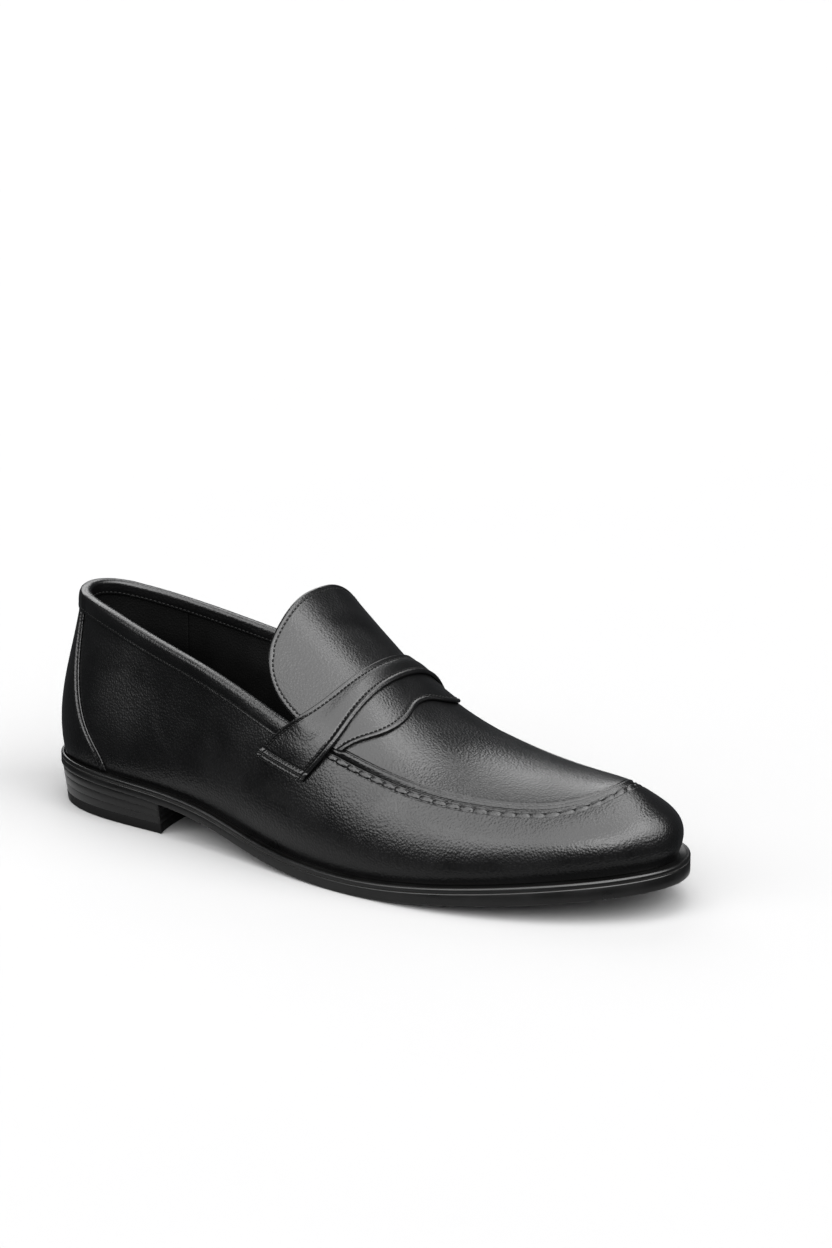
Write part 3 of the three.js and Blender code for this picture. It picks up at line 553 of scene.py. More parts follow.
def lidded(name, sections, material, *nodes):
    """A closed piece from a profile at each place round its plan; the profiles' ends meet on the spine."""
    piece = add_mesh(name, sections, grid_faces(*sections.shape[:2], True, False), material, *nodes)
    weld(piece)
    return piece


def weld(piece, distance=2e-6):
    """Joins points that lie on each other, closing seams and poles, and turns all faces outward."""
    bm = bmesh.new()
    bm.from_mesh(piece.data)
    bmesh.ops.remove_doubles(bm, verts=bm.verts, dist=distance)
    bmesh.ops.dissolve_degenerate(bm, edges=bm.edges, dist=1e-7)
    bmesh.ops.recalc_face_normals(bm, faces=bm.faces)
    for face in bm.faces:
        face.smooth = True
    bm.to_mesh(piece.data)
    bm.free()


# ------------------------------------------------------------------ seams and stitches
def dip(distance, centre, width, depth):
    """A groove, or with a negative depth a ridge, along a line at one distance from an edge."""
    return -depth * np.exp(-((distance - centre) / width) ** 2)


def even(total, fine, coarse, reach):
    """Positions from 0 to total: fine steps within reach of both ends, coarse ones between."""
    near = np.arange(0, reach, fine)
    middle = np.linspace(reach, total - reach, max(int((total - 2 * reach) / coarse), 2))
    return np.concatenate([near, middle, (total - near)[::-1]])


def line_in(core, axis, from_end, distance, first=0, last=None):
    """The line through a grid at one distance from a border, read along the grid's rows or columns."""
    grid = np.moveaxis(core, axis, 1)
    grid = grid[:, ::-1] if from_end else grid
    points = [at(row, np.interp(distance, run, np.arange(len(run))))
              for row, run in zip(grid, run_along(grid))]
    return np.array(points)[first:last]


def sew(name, core, square, axis, from_end, distance, lift, first=0, last=None, **thread):
    """Stitches along a grid's border at a distance from it."""
    points = line_in(core, axis, from_end, distance, first, last)
    up = unit(line_in(square, axis, from_end, 0.0, first, last))
    return stitch_row(name, points, up, lift=lift, **thread)


# ------------------------------------------------------------------ wall of the upper
PUCKER_PITCH = 5.5
PUCKER_START = 0.283
PUCKER_CENTRE, PUCKER_HALF_HIGH = 1.95, 1.3
PUCKER_SLANT, PUCKER_HEIGHT, TRENCH_DEPTH = 0.06, 0.66, 0.66
EDGE_DROP = 0.75
# Share of a turn by which the fine stations reach past the strap's ends of the seam.
FINE_PAST = 0.01


def seam_share(u):
    """1 along the open moccasin seam, 0 under the strap and behind it."""
    return smooth(np.minimum(u, 1 - u), PUCKER_START, PUCKER_START + 0.006)


def pucker_relief(u, down):
    """Gathers of a hand-sewn seam: a chain of flat ovals filling a shallow trench along the edge."""
    fine_u = np.linspace(PUCKER_START, 1 - PUCKER_START, 1500)
    length = run_along(top_line(fine_u))
    count = round(length[-1] / PUCKER_PITCH)
    place = np.interp(u, fine_u, length) / length[-1] * count
    offset = np.mod(place + PUCKER_SLANT * (down - PUCKER_CENTRE), 1.0) - 0.5
    inside = 1 - (offset / 0.5) ** 2 - ((down - PUCKER_CENTRE) / PUCKER_HALF_HIGH) ** 2
    oval = PUCKER_HEIGHT * np.maximum(inside, 0) ** 0.42
    trench = TRENCH_DEPTH * (smooth(down, 0.2, 0.7) - smooth(down, 3.1, 3.55))
    return (oval - trench) * seam_share(u)


def make_wall():
    """Vamp and quarters in one sheet, gathered along the seam with the apron."""
    first, last = TONGUE_U - FINE_PAST, 1 - TONGUE_U + FINE_PAST
    fine = np.linspace(first, last, 800)
    rear = np.linspace(last, 1 + first, 180)[1:-1]
    u = np.concatenate([fine, rear])[:, None] % 1.0
    top = np.concatenate([[8.0, 6.8, 5.7, 4.7], np.arange(4.0, EDGE_DROP, -0.27)])[None]
    band = down_wall(u, top)
    low = np.linspace(0.0, 1.0, 24)[None, :-1] * band[:, :1]
    v = np.concatenate([low, band], axis=1)
    core = wall(u, v)
    square = wall_normal(np.broadcast_to(u, v.shape), v)
    down = distances(core)[3] + EDGE_DROP
    height = pucker_relief(np.broadcast_to(u, v.shape), down)
    return sheet("Vamp_wall", core, square, LEATHER, UPPER, ["vamp_wall"], height, wrap=True)


# ------------------------------------------------------------------ apron and tongue
PLAN_T = np.linspace(0, 1, 3000)
PLAN_X = top_line(TONGUE_U + (0.5 - TONGUE_U) * PLAN_T)[:, 0]
SPINE_REAR, SPINE_FRONT = -2.0, 92.0
# Between these the free edge of the tongue turns into the sewn edge of the apron, under the strap.
SEAM_X, RIM_BAND = (17.0, 21.0), 3.4


def arch(plan):
    """Height of the apron and tongue over a plan position; gives the point in space."""
    x, y = plan[..., 0], plan[..., 1]
    u = TONGUE_U + (0.5 - TONGUE_U) * np.interp(x, PLAN_X, PLAN_T)
    outer, inner = top_line(u), top_line(1 - u)
    share = (y - outer[..., 1]) / np.maximum(inner[..., 1] - outer[..., 1], 0.05)
    s = np.clip(2 * share - 1, -1, 1)
    side = outer[..., 2] + (inner[..., 2] - outer[..., 2]) * (s + 1) / 2
    side = side + np.where(x < PLAN_X[0], tongue_rise(np.maximum(PLAN_X[0] - x, 0)), 0)
    drop = np.abs(s) ** arch_power(x)
    return np.stack([x, y, ridge_height(x) * (1 - drop) + side * drop], -1)


def arch_normal(plan, step=0.2):
    """Unit normal of the apron, from its slopes along and across."""
    slope = [(arch(plan + shift)[..., 2] - arch(plan - shift)[..., 2]) / (2 * step)
             for shift in (np.array([step, 0]), np.array([0, step]))]
    return unit(np.stack([-slope[0], -slope[1], np.ones_like(slope[0])], -1))


def apron_outline():
    """Plan of the apron and tongue once round: tongue top, outer side, toe, inner side and back."""
    s = np.linspace(0, 1, 90)
    outer, inner = top_line(TONGUE_U), top_line(1 - TONGUE_U)
    half_top = np.stack([tongue_top_x(s), 0 * s], -1)
    middle, reach = (outer[1] + inner[1]) / 2, (inner[1] - outer[1]) / 2
    side_x = np.linspace(half_top[-1, 0], outer[0], 30)[1:]
    u = TONGUE_U + (0.5 - TONGUE_U) * np.linspace(0, 1, 190)[1:]
    halves = []
    for sign, edge, round_u in ((-1, outer, u), (1, inner, 1 - u)):
        top = np.stack([half_top[:, 0], middle + sign * reach * s], -1)
        side = np.stack([side_x, np.full(len(side_x), edge[1])], -1)
        halves.append(np.concatenate([top, side, top_line(round_u)[:, :2]]))
    outline = np.concatenate([halves[0], halves[1][-2:0:-1]])
    free = smooth(-outline[:, :1], 0.0, 4.0)
    for _ in range(60):
        middle = (np.roll(outline, 1, 0) + np.roll(outline, -1, 0)) / 2
        outline = outline + (middle - outline) * free * 0.5
    return outline


def islet(name, inset, depth, thickness, material, nodes, relief=None, fine=0.22, sunk=0.0):
    """A closed sheet over the apron's plan: rings at true distances from its edge, then lines to the spine.

    sunk lets its edge along the seam down behind the rim of the wall.
    """
    outline = apron_outline()
    inward = inward_of(outline, 8)
    rise = (arch(outline + inward * 2.6)[:, 2] - arch(outline + inward * 0.6)[:, 2]) / 2
    ease = 1 / np.sqrt(1 + rise ** 2)
    rings = np.arange(0, RIM_BAND, fine)
    plan = outline[:, None] + inward[:, None] * (ease[:, None] * (rings[None] + inset))[..., None]
    spine = np.stack([np.clip(outline[:, 0], SPINE_REAR, SPINE_FRONT), np.full(len(outline), 0.0)], -1)
    spine[:, 1] = (plan[:, -1, 1] + np.roll(plan[::-1, -1, 1], 1)) / 2
    ends = (outline[:, 0] < SPINE_REAR) | (outline[:, 0] > SPINE_FRONT)
    middle = np.interp([SPINE_REAR, SPINE_FRONT], *zip(*sorted(spine[~ends].tolist())))
    spine[:, 1] = np.where(outline[:, 0] < SPINE_REAR, middle[0], spine[:, 1])
    spine[:, 1] = np.where(outline[:, 0] > SPINE_FRONT, middle[1], spine[:, 1])
    share = np.linspace(0, 1, 22)[None, 1:, None]
    inner = plan[:, -1:] + (spine[:, None] - plan[:, -1:]) * share
    plan = np.concatenate([plan, inner], axis=1)
    square = arch_normal(plan)
    run = np.concatenate([rings, np.full(inner.shape[1], 99.0)])
    sink = sunk * (1 - smooth(run, 0.0, 2.4))[None] * smooth(outline[:, :1], *SEAM_X)
    core = arch(plan) - square * (depth + sink)[..., None]
    across = -unit(core[:, 1] - core[:, 0])
    lower = core - square * thickness
    upper = core
    if relief is not None:
        upper = core + square * relief(outline[:, 0][:, None], run[None])[..., None]
    angles = np.radians([0.1, 25, 50, 75, 90, 105, 130, 155, 179.9])[None, :, None]
    r = thickness * 0.45
    bend = (core[:, :1] + np.sin(angles) * across[:, None] * r
            - (1 - np.cos(angles)) * square[:, :1] * thickness / 2)
    profile = np.concatenate([upper[:, ::-1], bend, lower[:, ::2]], axis=1)
    if (profile[:, -1] != lower[:, -1]).any():
        profile = np.concatenate([profile, lower[:, -1:]], axis=1)
    lidded(name, profile, material, *nodes)
    return outline, core, square, rings


def apron_relief(x, run):
    """Rolled edge with a groove inside it along the seam; a stitched edge along the free tongue."""
    ahead = smooth(x, 17.0, 19.5)
    roll = dip(run, 1.0, 0.85, -0.55) + dip(run, 2.5, 0.36, 0.5)
    free = dip(run, 0.55, 0.6, -0.15) + dip(run, 1.7, 0.35, 0.22)
    return roll * ahead + free * (1 - ahead)


def make_apron():
    """Apron and tongue with its free edge stitched, and the lining behind it."""
    outline, core, square, rings = islet("Apron_and_tongue", 0.75, 0.0, LEATHER, UPPER, ["apron"],
                                         apron_relief, sunk=0.55)
    row = int(np.argmin(np.abs(rings - 1.7)))
    behind = np.where(outline[:, 0] < 10)[0]
    behind = np.concatenate([behind[behind > len(outline) / 2], behind[behind < len(outline) / 2]])
    stitch_row("Tongue_stitching", core[behind, row], square[behind, row], pitch=2.0, lift=-0.12)
    islet("Plug_lining", 2.6, LEATHER + GAP, LINING, LINED, ["plug_lining"], fine=0.8)


# ------------------------------------------------------------------ strap and leaf
STRAP_TAB_V = 0.66
# Stations of the strap's rear and front edge at the top line, and how they lean back down the wall.
STRAP_REAR_U, STRAP_REAR_LEAN = 0.2515, 0.0235 / 0.345
STRAP_FRONT_U, STRAP_FRONT_LEAN = 0.2895, 0.0225 / 0.33
STRAP_THICK, STRAP_LIFT, TAB_LIFT = 1.1, 1.5, 0.35
LEAF_LIFT, LEAF_THICK = 0.45, 0.8
leaf_front_x = spline([0, 0.12, 0.28, 0.47, 0.73, 0.9, 1], [30.6, 30.9, 32.4, 32.8, 28.4, 21.5, 17.5])


def strap_rear_x(s):
    """Rear edge of the strap over the apron: a cubic bow to the rear."""
    return 12 - 13 * np.abs(s) ** 3


def strap_front_x(s):
    """Front edge of the strap over the apron: a parabola."""
    return 20 - 4 * s * s


def apron_plan(x, s):
    """Plan positions at x along the apron and s across it, -1 on the outer seam and 1 on the inner one."""
    u = TONGUE_U + (0.5 - TONGUE_U) * np.interp(x, PLAN_X, PLAN_T)
    return np.stack([x, top_line(u)[..., 1] * (1 - s) / 2 + top_line(1 - u)[..., 1] * (1 + s) / 2], -1)


def strap_bed(b, count=320):
    """The leather under the strap, a little raised: each line runs from tab to tab, with its normals."""
    v = np.linspace(STRAP_TAB_V, 0.99, 40)[None]
    rear = STRAP_REAR_U - STRAP_REAR_LEAN * (1 - v)
    u = rear + (STRAP_FRONT_U - STRAP_FRONT_LEAN * (1 - v) - rear) * b
    v = np.broadcast_to(v, u.shape)
    settled = 0.32 + 0.68 * smooth(b, 0.08, 0.5)
    side_lift = np.interp(v, [STRAP_TAB_V, 0.76, 0.87, 0.99], [TAB_LIFT, 0.6, 1.2, 1.35]) * settled
    side_lift = np.maximum(side_lift, TAB_LIFT)[..., None]
    s = np.linspace(-0.99, 0.99, 140)[None]
    x = strap_rear_x(s) + (strap_front_x(s) - strap_rear_x(s)) * b
    plan = apron_plan(x, np.broadcast_to(s, x.shape))
    square = [wall_normal(u, v), arch_normal(plan), wall_normal(1 - u, v)[:, ::-1]]
    bed = [wall(u, v) + square[0] * side_lift,
           arch(plan) + square[1] * (STRAP_LIFT * settled)[..., None],
           wall(1 - u, v)[:, ::-1] + square[2] * side_lift[:, ::-1]]
    bed, square = np.concatenate(bed, axis=1), np.concatenate(square, axis=1)
    return respaced(bed, bed, count), unit(respaced(bed, square, count))


def respaced(lines, values, shares):
    """Reads values kept along lines at shares of each line's length, or at a count of even shares."""
    shares = np.linspace(0, 1, shares) if isinstance(shares, int) else shares
    return np.array([at(value, np.interp(shares * run[-1], run, np.arange(len(run))))
                     for value, run in zip(values, run_along(lines))])


def relaxed(lines, rounds):
    """Draws each line towards its neighbours' middle along its length, its ends held."""
    lines = lines.copy()
    for _ in range(rounds):
        lines[:, 1:-1] = (lines[:, 2:] + lines[:, :-2] + 2 * lines[:, 1:-1]) / 4
    return lines


def strap_underside(shares, columns):
    """A taut sheet: lines drawn straight along their length, but never below the leather under them."""
    bed, square = strap_bed(shares[:, None])
    line = bed.copy()
    for _ in range(700):
        line = relaxed(line, 1)
        short = np.minimum(np.sum((line - bed) * square, axis=-1), 0)
        line -= square * short[..., None]
    under = respaced(line, relaxed(line, 40), columns)
    across = relaxed(np.moveaxis(under, 0, 1), 10)
    return np.moveaxis(across, 1, 0)


def make_strap():
    """The saddle strap: rolled front edge, stitched borders, and two rows with a roll at each tab."""
    shares = even(1.0, 0.011, 0.03, 0.16)
    columns = even(1.0, 0.0025, 0.0055, 0.06)
    under = strap_underside(shares, columns)
    square = normals(under)
    core = under + square * STRAP_THICK
    rear, front, outer, inner = distances(core)
    tab = np.minimum(outer, inner)
    relief = (dip(rear, 1.5, 0.4, 0.22) + dip(front, 0.7, 0.75, -0.5) + dip(front, 2.2, 0.4, 0.25)
              + dip(tab, 1.5, 0.4, 0.34) + dip(tab, 3.0, 0.9, -0.45) + dip(tab, 4.6, 0.4, 0.34))
    sheet("Saddle_strap", core, square, STRAP_THICK, TRIM, ["saddle_strap"], relief)
    thread = {"pitch": 1.9, "lift": -0.12}
    sew("Strap_rear_stitching", core, square, 0, False, 1.5, first=14, last=-14, **thread)
    sew("Strap_front_stitching", core, square, 0, True, 2.2, first=14, last=-14, **thread)
    for name, end in (("outer", False), ("inner", True)):
        sew(f"Strap_{name}_tab_stitching", core, square, 1, end, 1.5, first=10, last=-10, **thread)
        sew(f"Strap_{name}_tab_second_stitching", core, square, 1, end, 4.6, first=10, last=-10, **thread)


def make_leaf():
    """The leaf that comes out from under the strap and ends in a wavy front edge."""
    s = np.linspace(-0.97, 0.97, 190)[None]
    share = even(1.0, 0.016, 0.04, 0.4)[:, None]
    rear = strap_rear_x(s) + (strap_front_x(s) - strap_rear_x(s)) * 0.45
    x = rear + (leaf_front_x(np.abs(s)) - rear) * share
    plan = apron_plan(x, np.broadcast_to(s, x.shape))
    square = arch_normal(plan)
    core = arch(plan) + square * (LEAF_LIFT + LEAF_THICK)
    front = distances(core)[1]
    relief = dip(front, 0.6, 0.65, -0.4) + dip(front, 2.0, 0.35, 0.2)
    sheet("Keeper_leaf", core, square, LEAF_THICK, TRIM, ["keeper_leaf"], relief)
    sew("Leaf_stitching", core, square, 0, True, 2.0, lift=-0.12, first=4, last=-4, pitch=1.9)


# ------------------------------------------------------------------ counter and binding
counter_edge = spline([0, 0.11, 0.255, 0.5, 0.74, 0.88, 0.94],
                      [0.0905, 0.0865, 0.0745, 0.058, 0.0475, 0.044, 0.043])
COUNTER_TOP, COUNTER_OUT = 0.935, 0.75


def make_counter():
    """The outside back counter, with two rows of stitches and a groove at each side."""
    k = even(2.0, 0.012, 0.035, 0.24)[:, None] - 1
    v = np.linspace(0.012, COUNTER_TOP, 90)[None]
    u = k * counter_edge(v)
    square = wall_normal(u, np.broadcast_to(v, u.shape))
    out = COUNTER_OUT - 0.4 * smooth(v, 0.905, COUNTER_TOP)
    core = wall(u, np.broadcast_to(v, u.shape)) + square * out[..., None]
    outer, inner, _, _ = distances(core)
    side = np.minimum(outer, inner)
    relief = dip(side, 1.3, 0.35, 0.3) + dip(side, 2.5, 0.65, -0.6) + dip(side, 3.7, 0.35, 0.3)
    sheet("Back_counter", core, square, 0.7, UPPER, ["back_counter"], relief)
    for name, end in (("outer", False), ("inner", True)):
        for row, place in (("front", 1.3), ("rear", 3.7)):
            sew(f"Counter_{name}_{row}_stitching", core, square, 0, end, place, lift=-0.12,
                first=1, last=-4, pitch=1.9, radius=0.22)


BINDING_REACH = 19 / 72


def binding_sections(u):
    """Folded binding: out over the rim, down the inside, and back through its hollow."""
    over_counter = (1 - smooth(np.abs(u), 0.041, 0.05))[:, None, None]
    # Down the wall and out of it, down the lining and into it, and in and up at the rim.
    outside = [(7.0, 0.12), (7.0, 0.5), (6.6, 0.72), (6.0, 0.62), (5.75, 0.55), (5.5, 0.62),
               (5.0, 0.85), (4.2, 1.02), (3, 1.12), (1.8, 1.12), (0.8, 1.05)]
    inside = [(0.6, 3.42), (1.6, 3.5), (2.8, 3.5), (3.7, 3.42), (4.0, 3.34), (4.3, 3.42),
              (4.7, 3.45), (4.9, 3.3), (4.9, 2.75), (2.8, 2.7), (1.2, 2.65)]
    rim = [(-0.85, 0.3), (-0.35, 0.75), (0.5, 1.05), (1.5, 1.12), (2.4, 1.02), (3.05, 0.65), (3.4, 0.1)]
    hollow = [(2.1, 0.2), (1.0, 0.35), (0.0, 0.2), (-0.2, -0.6)]
    top, normal = wall(u, np.ones_like(u)), wall_normal(u, np.ones_like(u))
    up = unit(top - wall(u, np.full_like(u, 0.98)))

    def flank(down, out):
        """Points on the wall, at distances down from the top line and out of the leather."""
        v = down_wall(u, down)
        return wall(u, v) + wall_normal(u, v) * out

    def over(depth, height):
        """Points over the rim, at distances in from the leather's face and up."""
        return top - normal * depth + up * height

    points = [flank(down, out) + normal * 0.62 * over_counter[:, 0] for down, out in outside]
    points += [over(*spot) + normal * 0.5 * over_counter[:, 0] * (i < 3) for i, spot in enumerate(rim)]
    points += [flank(down, -depth) for down, depth in inside]
    points += [over(*spot) for spot in hollow]
    points.append(flank(6.6, 0.1) + normal * 0.6 * over_counter[:, 0])
    return np.stack(points, axis=1)


def make_binding():
    """The padded binding of the top line, with a row of stitches on each flank."""
    u = np.linspace(-BINDING_REACH, BINDING_REACH, 330)
    sections = binding_sections(u)
    weld(capped("Topline_binding", sections, TRIM, "topline_binding"))
    out = wall_normal(u, down_wall(u, 5.75))
    stitch_row("Binding_outer_stitching", sections[:, 4], out, pitch=1.9, lift=-0.02)
    stitch_row("Binding_inner_stitching", sections[:, 22], -out, pitch=1.9, lift=-0.02)


# ------------------------------------------------------------------ linings
def lining_depth(v):
    """Depth of the lining behind the wall: deep below, shallow near the top line."""
    return LINING_DEEP + (LINING_SHALLOW - LINING_DEEP) * smooth(v, 0.66, 0.92)


LINING_PLAY = 0.0007


def make_lining(name, node, first, last, top):
    """A lining panel behind the leather, its ends drawn in a little from its neighbours."""
    u = np.linspace(first + LINING_PLAY, last - LINING_PLAY, int((last - first) * 330))[:, None]
    v = np.linspace(0.0, top, 44)[None]
    u2, v2 = np.broadcast_arrays(u, v)
    square = wall_normal(u2, v2)
    core = wall(u2, v2) - square * lining_depth(v2)[..., None]
    sheet(name, core, square, LINING, LINED, [node])


def make_linings():
    """The four panels of the lining, by their stations round the shoe."""
    grip_end, under_binding = 6 / 72, 0.985
    make_lining("Vamp_lining", "vamp_lining", 0.25, 0.75, 0.88)
    make_lining("Quarter_lining_outer", "quarter_lining_lateral", grip_end, 0.25, under_binding)
    make_lining("Quarter_lining_inner", "quarter_lining_medial", 0.75, 66 / 72, under_binding)
    make_lining("Heel_grip", "heel_grip", -grip_end, grip_end, under_binding)


# ------------------------------------------------------------------ bottom
def welt_under(x):
    """Height of the welt's underside along the shoe."""
    return feather_height(x) - WELT_DROP - WELT_THICK


def sole_under(x):
    """Height of the outsole's underside along the shoe."""
    return feather_height(x) - sole_thickness(x)


def bottom_piece(name, plan, centre, profile, material, *nodes):
    """A closed piece from a plan outline.

    Each row of its profile is an inset, a height function and a share of the way to the centre.
    """
    inward = inward_of(plan)
    rows = []
    for inset, height, share in profile:
        ring_plan = plan + inward * inset
        ring_plan = ring_plan + (centre - ring_plan) * share
        rows.append(np.concatenate([ring_plan, height(ring_plan[:, 0])[:, None]], -1))
    return lidded(name, np.stack(rows, axis=1), material, *nodes)


def bottom_outline(out, count=420):
    """Plan of the bottom at even stations, moved out, and the spine point for each station."""
    u = np.arange(count) / count
    plan = feather(u, out(u) if callable(out) else out)[:, :2]
    mirror = np.roll(plan[::-1], 1, 0)
    return plan, (plan + mirror) / 2


def rounding(bevel, height, side, angles):
    """Profile rows of a rounded edge under (side -1) or over (side 1) a height function."""
    rows = []
    for angle in np.radians(angles):
        rise = side * bevel * (1 - math.cos(angle))
        rows.append((bevel * (1 - math.sin(angle)), lambda x, rise=rise: height(x) + rise, 0.0))
    return rows


def slab_profile(top, under, bevel, inner=(0.3, 0.65), extra=()):
    """Profile of a slab with rounded edges, from the spine on top round the edge to the spine below."""
    rows = [(0.0, top, 1.0)] + [(bevel, top, 1 - share) for share in inner] + [(bevel, top, 0.0)]
    rows += rounding(bevel, top, -1, [30, 60, 90]) + rounding(bevel, under, 1, [90, 60, 30])
    rows.append((bevel, under, 0.0))
    rows += [(inset, lambda x, d=deep: under(x) + d, 0.0) for inset, deep in extra]
    rows += [(bevel, under, share) for share in (0.35, 0.7)] + [(0.0, under, 1.0)]
    return rows


def make_welt():
    """The welt: a flat strip with a beaded, rounded edge, following the feather line."""
    u = np.arange(560) / 560
    out = sole_out(u)
    # Reach out of the feather line, or out of the sole's edge, and height over the seat.
    seat = [(-WELT_INNER, 0), (-0.2, -0.1), (0.4, -0.4), (1.0, -0.4)]
    bead = [(-1.7, -0.35), (-1.45, -0.2), (-1.15, -0.02), (-0.85, 0.03), (-0.55, -0.05), (-0.28, -0.24),
            (-0.08, -0.52), (0, -0.85), (0, -1.6), (-0.08, -1.88), (-0.3, -2.05), (-0.55, -WELT_THICK)]
    section = [(reach + 0 * u, down) for reach, down in seat]
    section += [(out + reach, down) for reach, down in bead] + [(-WELT_INNER + 0 * u, -WELT_THICK)]
    rows = []
    for offset, down in section:
        plan = feather(u, offset)
        rows.append(np.stack([plan[:, 0], plan[:, 1], feather_height(plan[:, 0]) - WELT_DROP + down], -1))
    ring("Welt", np.stack(rows, axis=1), EDGE, "welt")


CHANNEL_U, CHANNEL_INSET, CHANNEL_DEPTH = (0.155, 0.845), 5.0, 0.45
TREAD_FACING = -0.9


def make_outsole():
    """The outsole, with the stitched channel in its tread face."""
    plan, spine = bottom_outline(sole_out)
    channel = [(4.2, 0.0), (4.6, 0.35), (CHANNEL_INSET, CHANNEL_DEPTH), (5.4, 0.35), (5.8, 0.0)]
    profile = slab_profile(lambda x: welt_under(x) - 0.05, sole_under, 0.55, extra=channel)
    sole = bottom_piece("Outsole", plan, spine, profile, EDGE, "outsole")
    sole.data.materials.append(BOTTOM)
    for face in sole.data.polygons:
        if face.normal.z < TREAD_FACING:
            face.material_index = 1
    u = np.linspace(*CHANNEL_U, 700)
    line = feather(u, sole_out(u) - CHANNEL_INSET)
    line[:, 2] = sole_under(line[:, 0]) + CHANNEL_DEPTH
    down = np.tile([0, 0, -1.0], (len(u), 1))
    stitch_row("Sole_channel_stitching", line, down, pitch=3.4, radius=0.4)


def heel_outline(drop):
    """Plan of the heel: round the back between the breast corners, and along the hollow breast.

    drop is 0 at the sole and 1 at the top lift, and the heel tapers with it.
    """
    u = np.linspace(0, BREAST_U, 80)
    k = np.linspace(0, 0.5, 26)[1:]
    out = sole_out(u) - HEEL_INSET - HEEL_TAPER * drop
    halves = []
    corners = [feather(u[-1], out[-1])[:2], feather(1 - u[-1], out[-1])[:2]]
    for side, first, second in ((u, 0, 1), (1 - u, 1, 0)):
        breast = corners[first] + (corners[second] - corners[first]) * k[:, None]
        breast[:, 0] -= BREAST_HOLLOW * 4 * k * (1 - k)
        halves.append(np.concatenate([feather(side, out)[:, :2], breast]))
    return np.concatenate([halves[0], halves[1][-2:0:-1]])


HEEL_CENTRE = np.array([-108.0, 0.0])


def heel_layer(name, low, high, low_out, high_out, bevel, lower_bevel, material, *nodes):
    """One layer of the heel between two height functions; its plan widens upward."""
    bottom_plan, top_plan = heel_outline(low_out), heel_outline(high_out)

    def ring_at(plan, inset, height, share=0.0):
        """One row of the layer: a plan drawn in, then moved a share of the way to the centre."""
        spot = plan + inward_of(plan, 2) * inset
        spot = spot + (HEEL_CENTRE - spot) * share
        return np.concatenate([spot, np.broadcast_to(height(spot[:, 0]), len(spot))[:, None]], -1)

    rows = [ring_at(top_plan, bevel, high, share) for share in (1.0, 0.4, 0.0)]
    rows += [ring_at(top_plan, inset, height)
             for inset, height, _ in rounding(bevel, high, -1, [30, 60, 90])]
    rows += [ring_at(bottom_plan, inset, height)
             for inset, height, _ in rounding(lower_bevel, low, 1, [90, 60, 30, 0])]
    rows += [ring_at(bottom_plan, lower_bevel, low, share) for share in (0.4, 1.0)]
    return lidded(name, np.stack(rows, axis=1), material, *nodes)


NAIL_SPOTS = [(-133, 0.5), (-118, -17), (-118, 17), (-95, -23), (-95, 22)]
NAIL_HOLE = 1.15
LIFT_GAP, LIFT_BEVEL = 0.02, 0.05


def drill(piece, spots, radius, depth):
    """Bores straight holes up from the floor side."""
    bm = bmesh.new()
    for x, y in spots:
        spot = Matrix.Translation(((x - CENTRE[0]) / 1000, (y - CENTRE[1]) / 1000, 0))
        bmesh.ops.create_cone(bm, cap_ends=True, segments=24, radius1=radius / 1000, radius2=radius / 1000,
                              depth=2 * depth / 1000, matrix=spot)
    mesh = bpy.data.meshes.new("drills")
    bm.to_mesh(mesh)
    bm.free()
    tool = bpy.data.objects.new("drills", mesh)
    bpy.context.scene.collection.objects.link(tool)
    cut = piece.modifiers.new("holes", "BOOLEAN")
    cut.operation, cut.object, cut.solver = "DIFFERENCE", tool, "EXACT"
    shaped = bpy.data.meshes.new_from_object(piece.evaluated_get(bpy.context.evaluated_depsgraph_get()))
    piece.modifiers.clear()
    piece.data = shaped
    bpy.data.objects.remove(tool)
    shaped.set_sharp_from_angle(angle=math.radians(40))


def make_heel():
    """The stacked lifts and the rubber top lift with its nail holes."""
    def level(share):
        """Height between the top lift and the sole's underside, by a share."""
        return lambda x: TOP_LIFT + (sole_under(x) - TOP_LIFT) * share

    for i in range(LIFT_COUNT):
        high, low = 1 - i / LIFT_COUNT, 1 - (i + 1) / LIFT_COUNT
        heel_layer(f"Heel_lift_{i + 1}", lambda x, s=low: level(s)(x) + LIFT_GAP,
                   lambda x, s=high: level(s)(x) - LIFT_GAP, 1 - low, 1 - high, LIFT_BEVEL, LIFT_BEVEL,
                   EDGE, f"heel_lift_{i + 1}")
    lift = heel_layer("Top_lift", lambda x: 0.0 * x, lambda x: TOP_LIFT - 0.06 + 0.0 * x,
                      1.2, 1.0, 0.2, 0.7, RUBBER, "top_lift")
    drill(lift, NAIL_SPOTS, NAIL_HOLE, TOP_LIFT - 0.25)


# ------------------------------------------------------------------ inside
INSIDE = LINING_DEEP + LINING + GAP
PAD_THICK, PAD_FRONT_X = 2.5, -62.0
INSOLE_RISE, SOCK_THICK = 2.3, 1.1


def insole_top(x):
    """Height of the insole board's upper face along the shoe."""
    return feather_height(x) + INSOLE_RISE


def pad_rise(x):
    """Thickness of the heel pad along the shoe, thinning out at its front."""
    return PAD_THICK * (1 - smooth(x, PAD_FRONT_X - 14, PAD_FRONT_X))


def make_sock():
    """The sock liner, lying on the insole and rising over the heel pad."""
    plan, spine = bottom_outline(-(INSIDE + 0.4))

    def under(x):
        return insole_top(x) + 0.3 + pad_rise(x)

    profile = slab_profile(lambda x: under(x) + SOCK_THICK, under, 0.4,
                           inner=(0.1, 0.25, 0.4, 0.55, 0.7, 0.85))
    bottom_piece("Sock_liner", plan, spine, profile, LINED, "sock_liner")


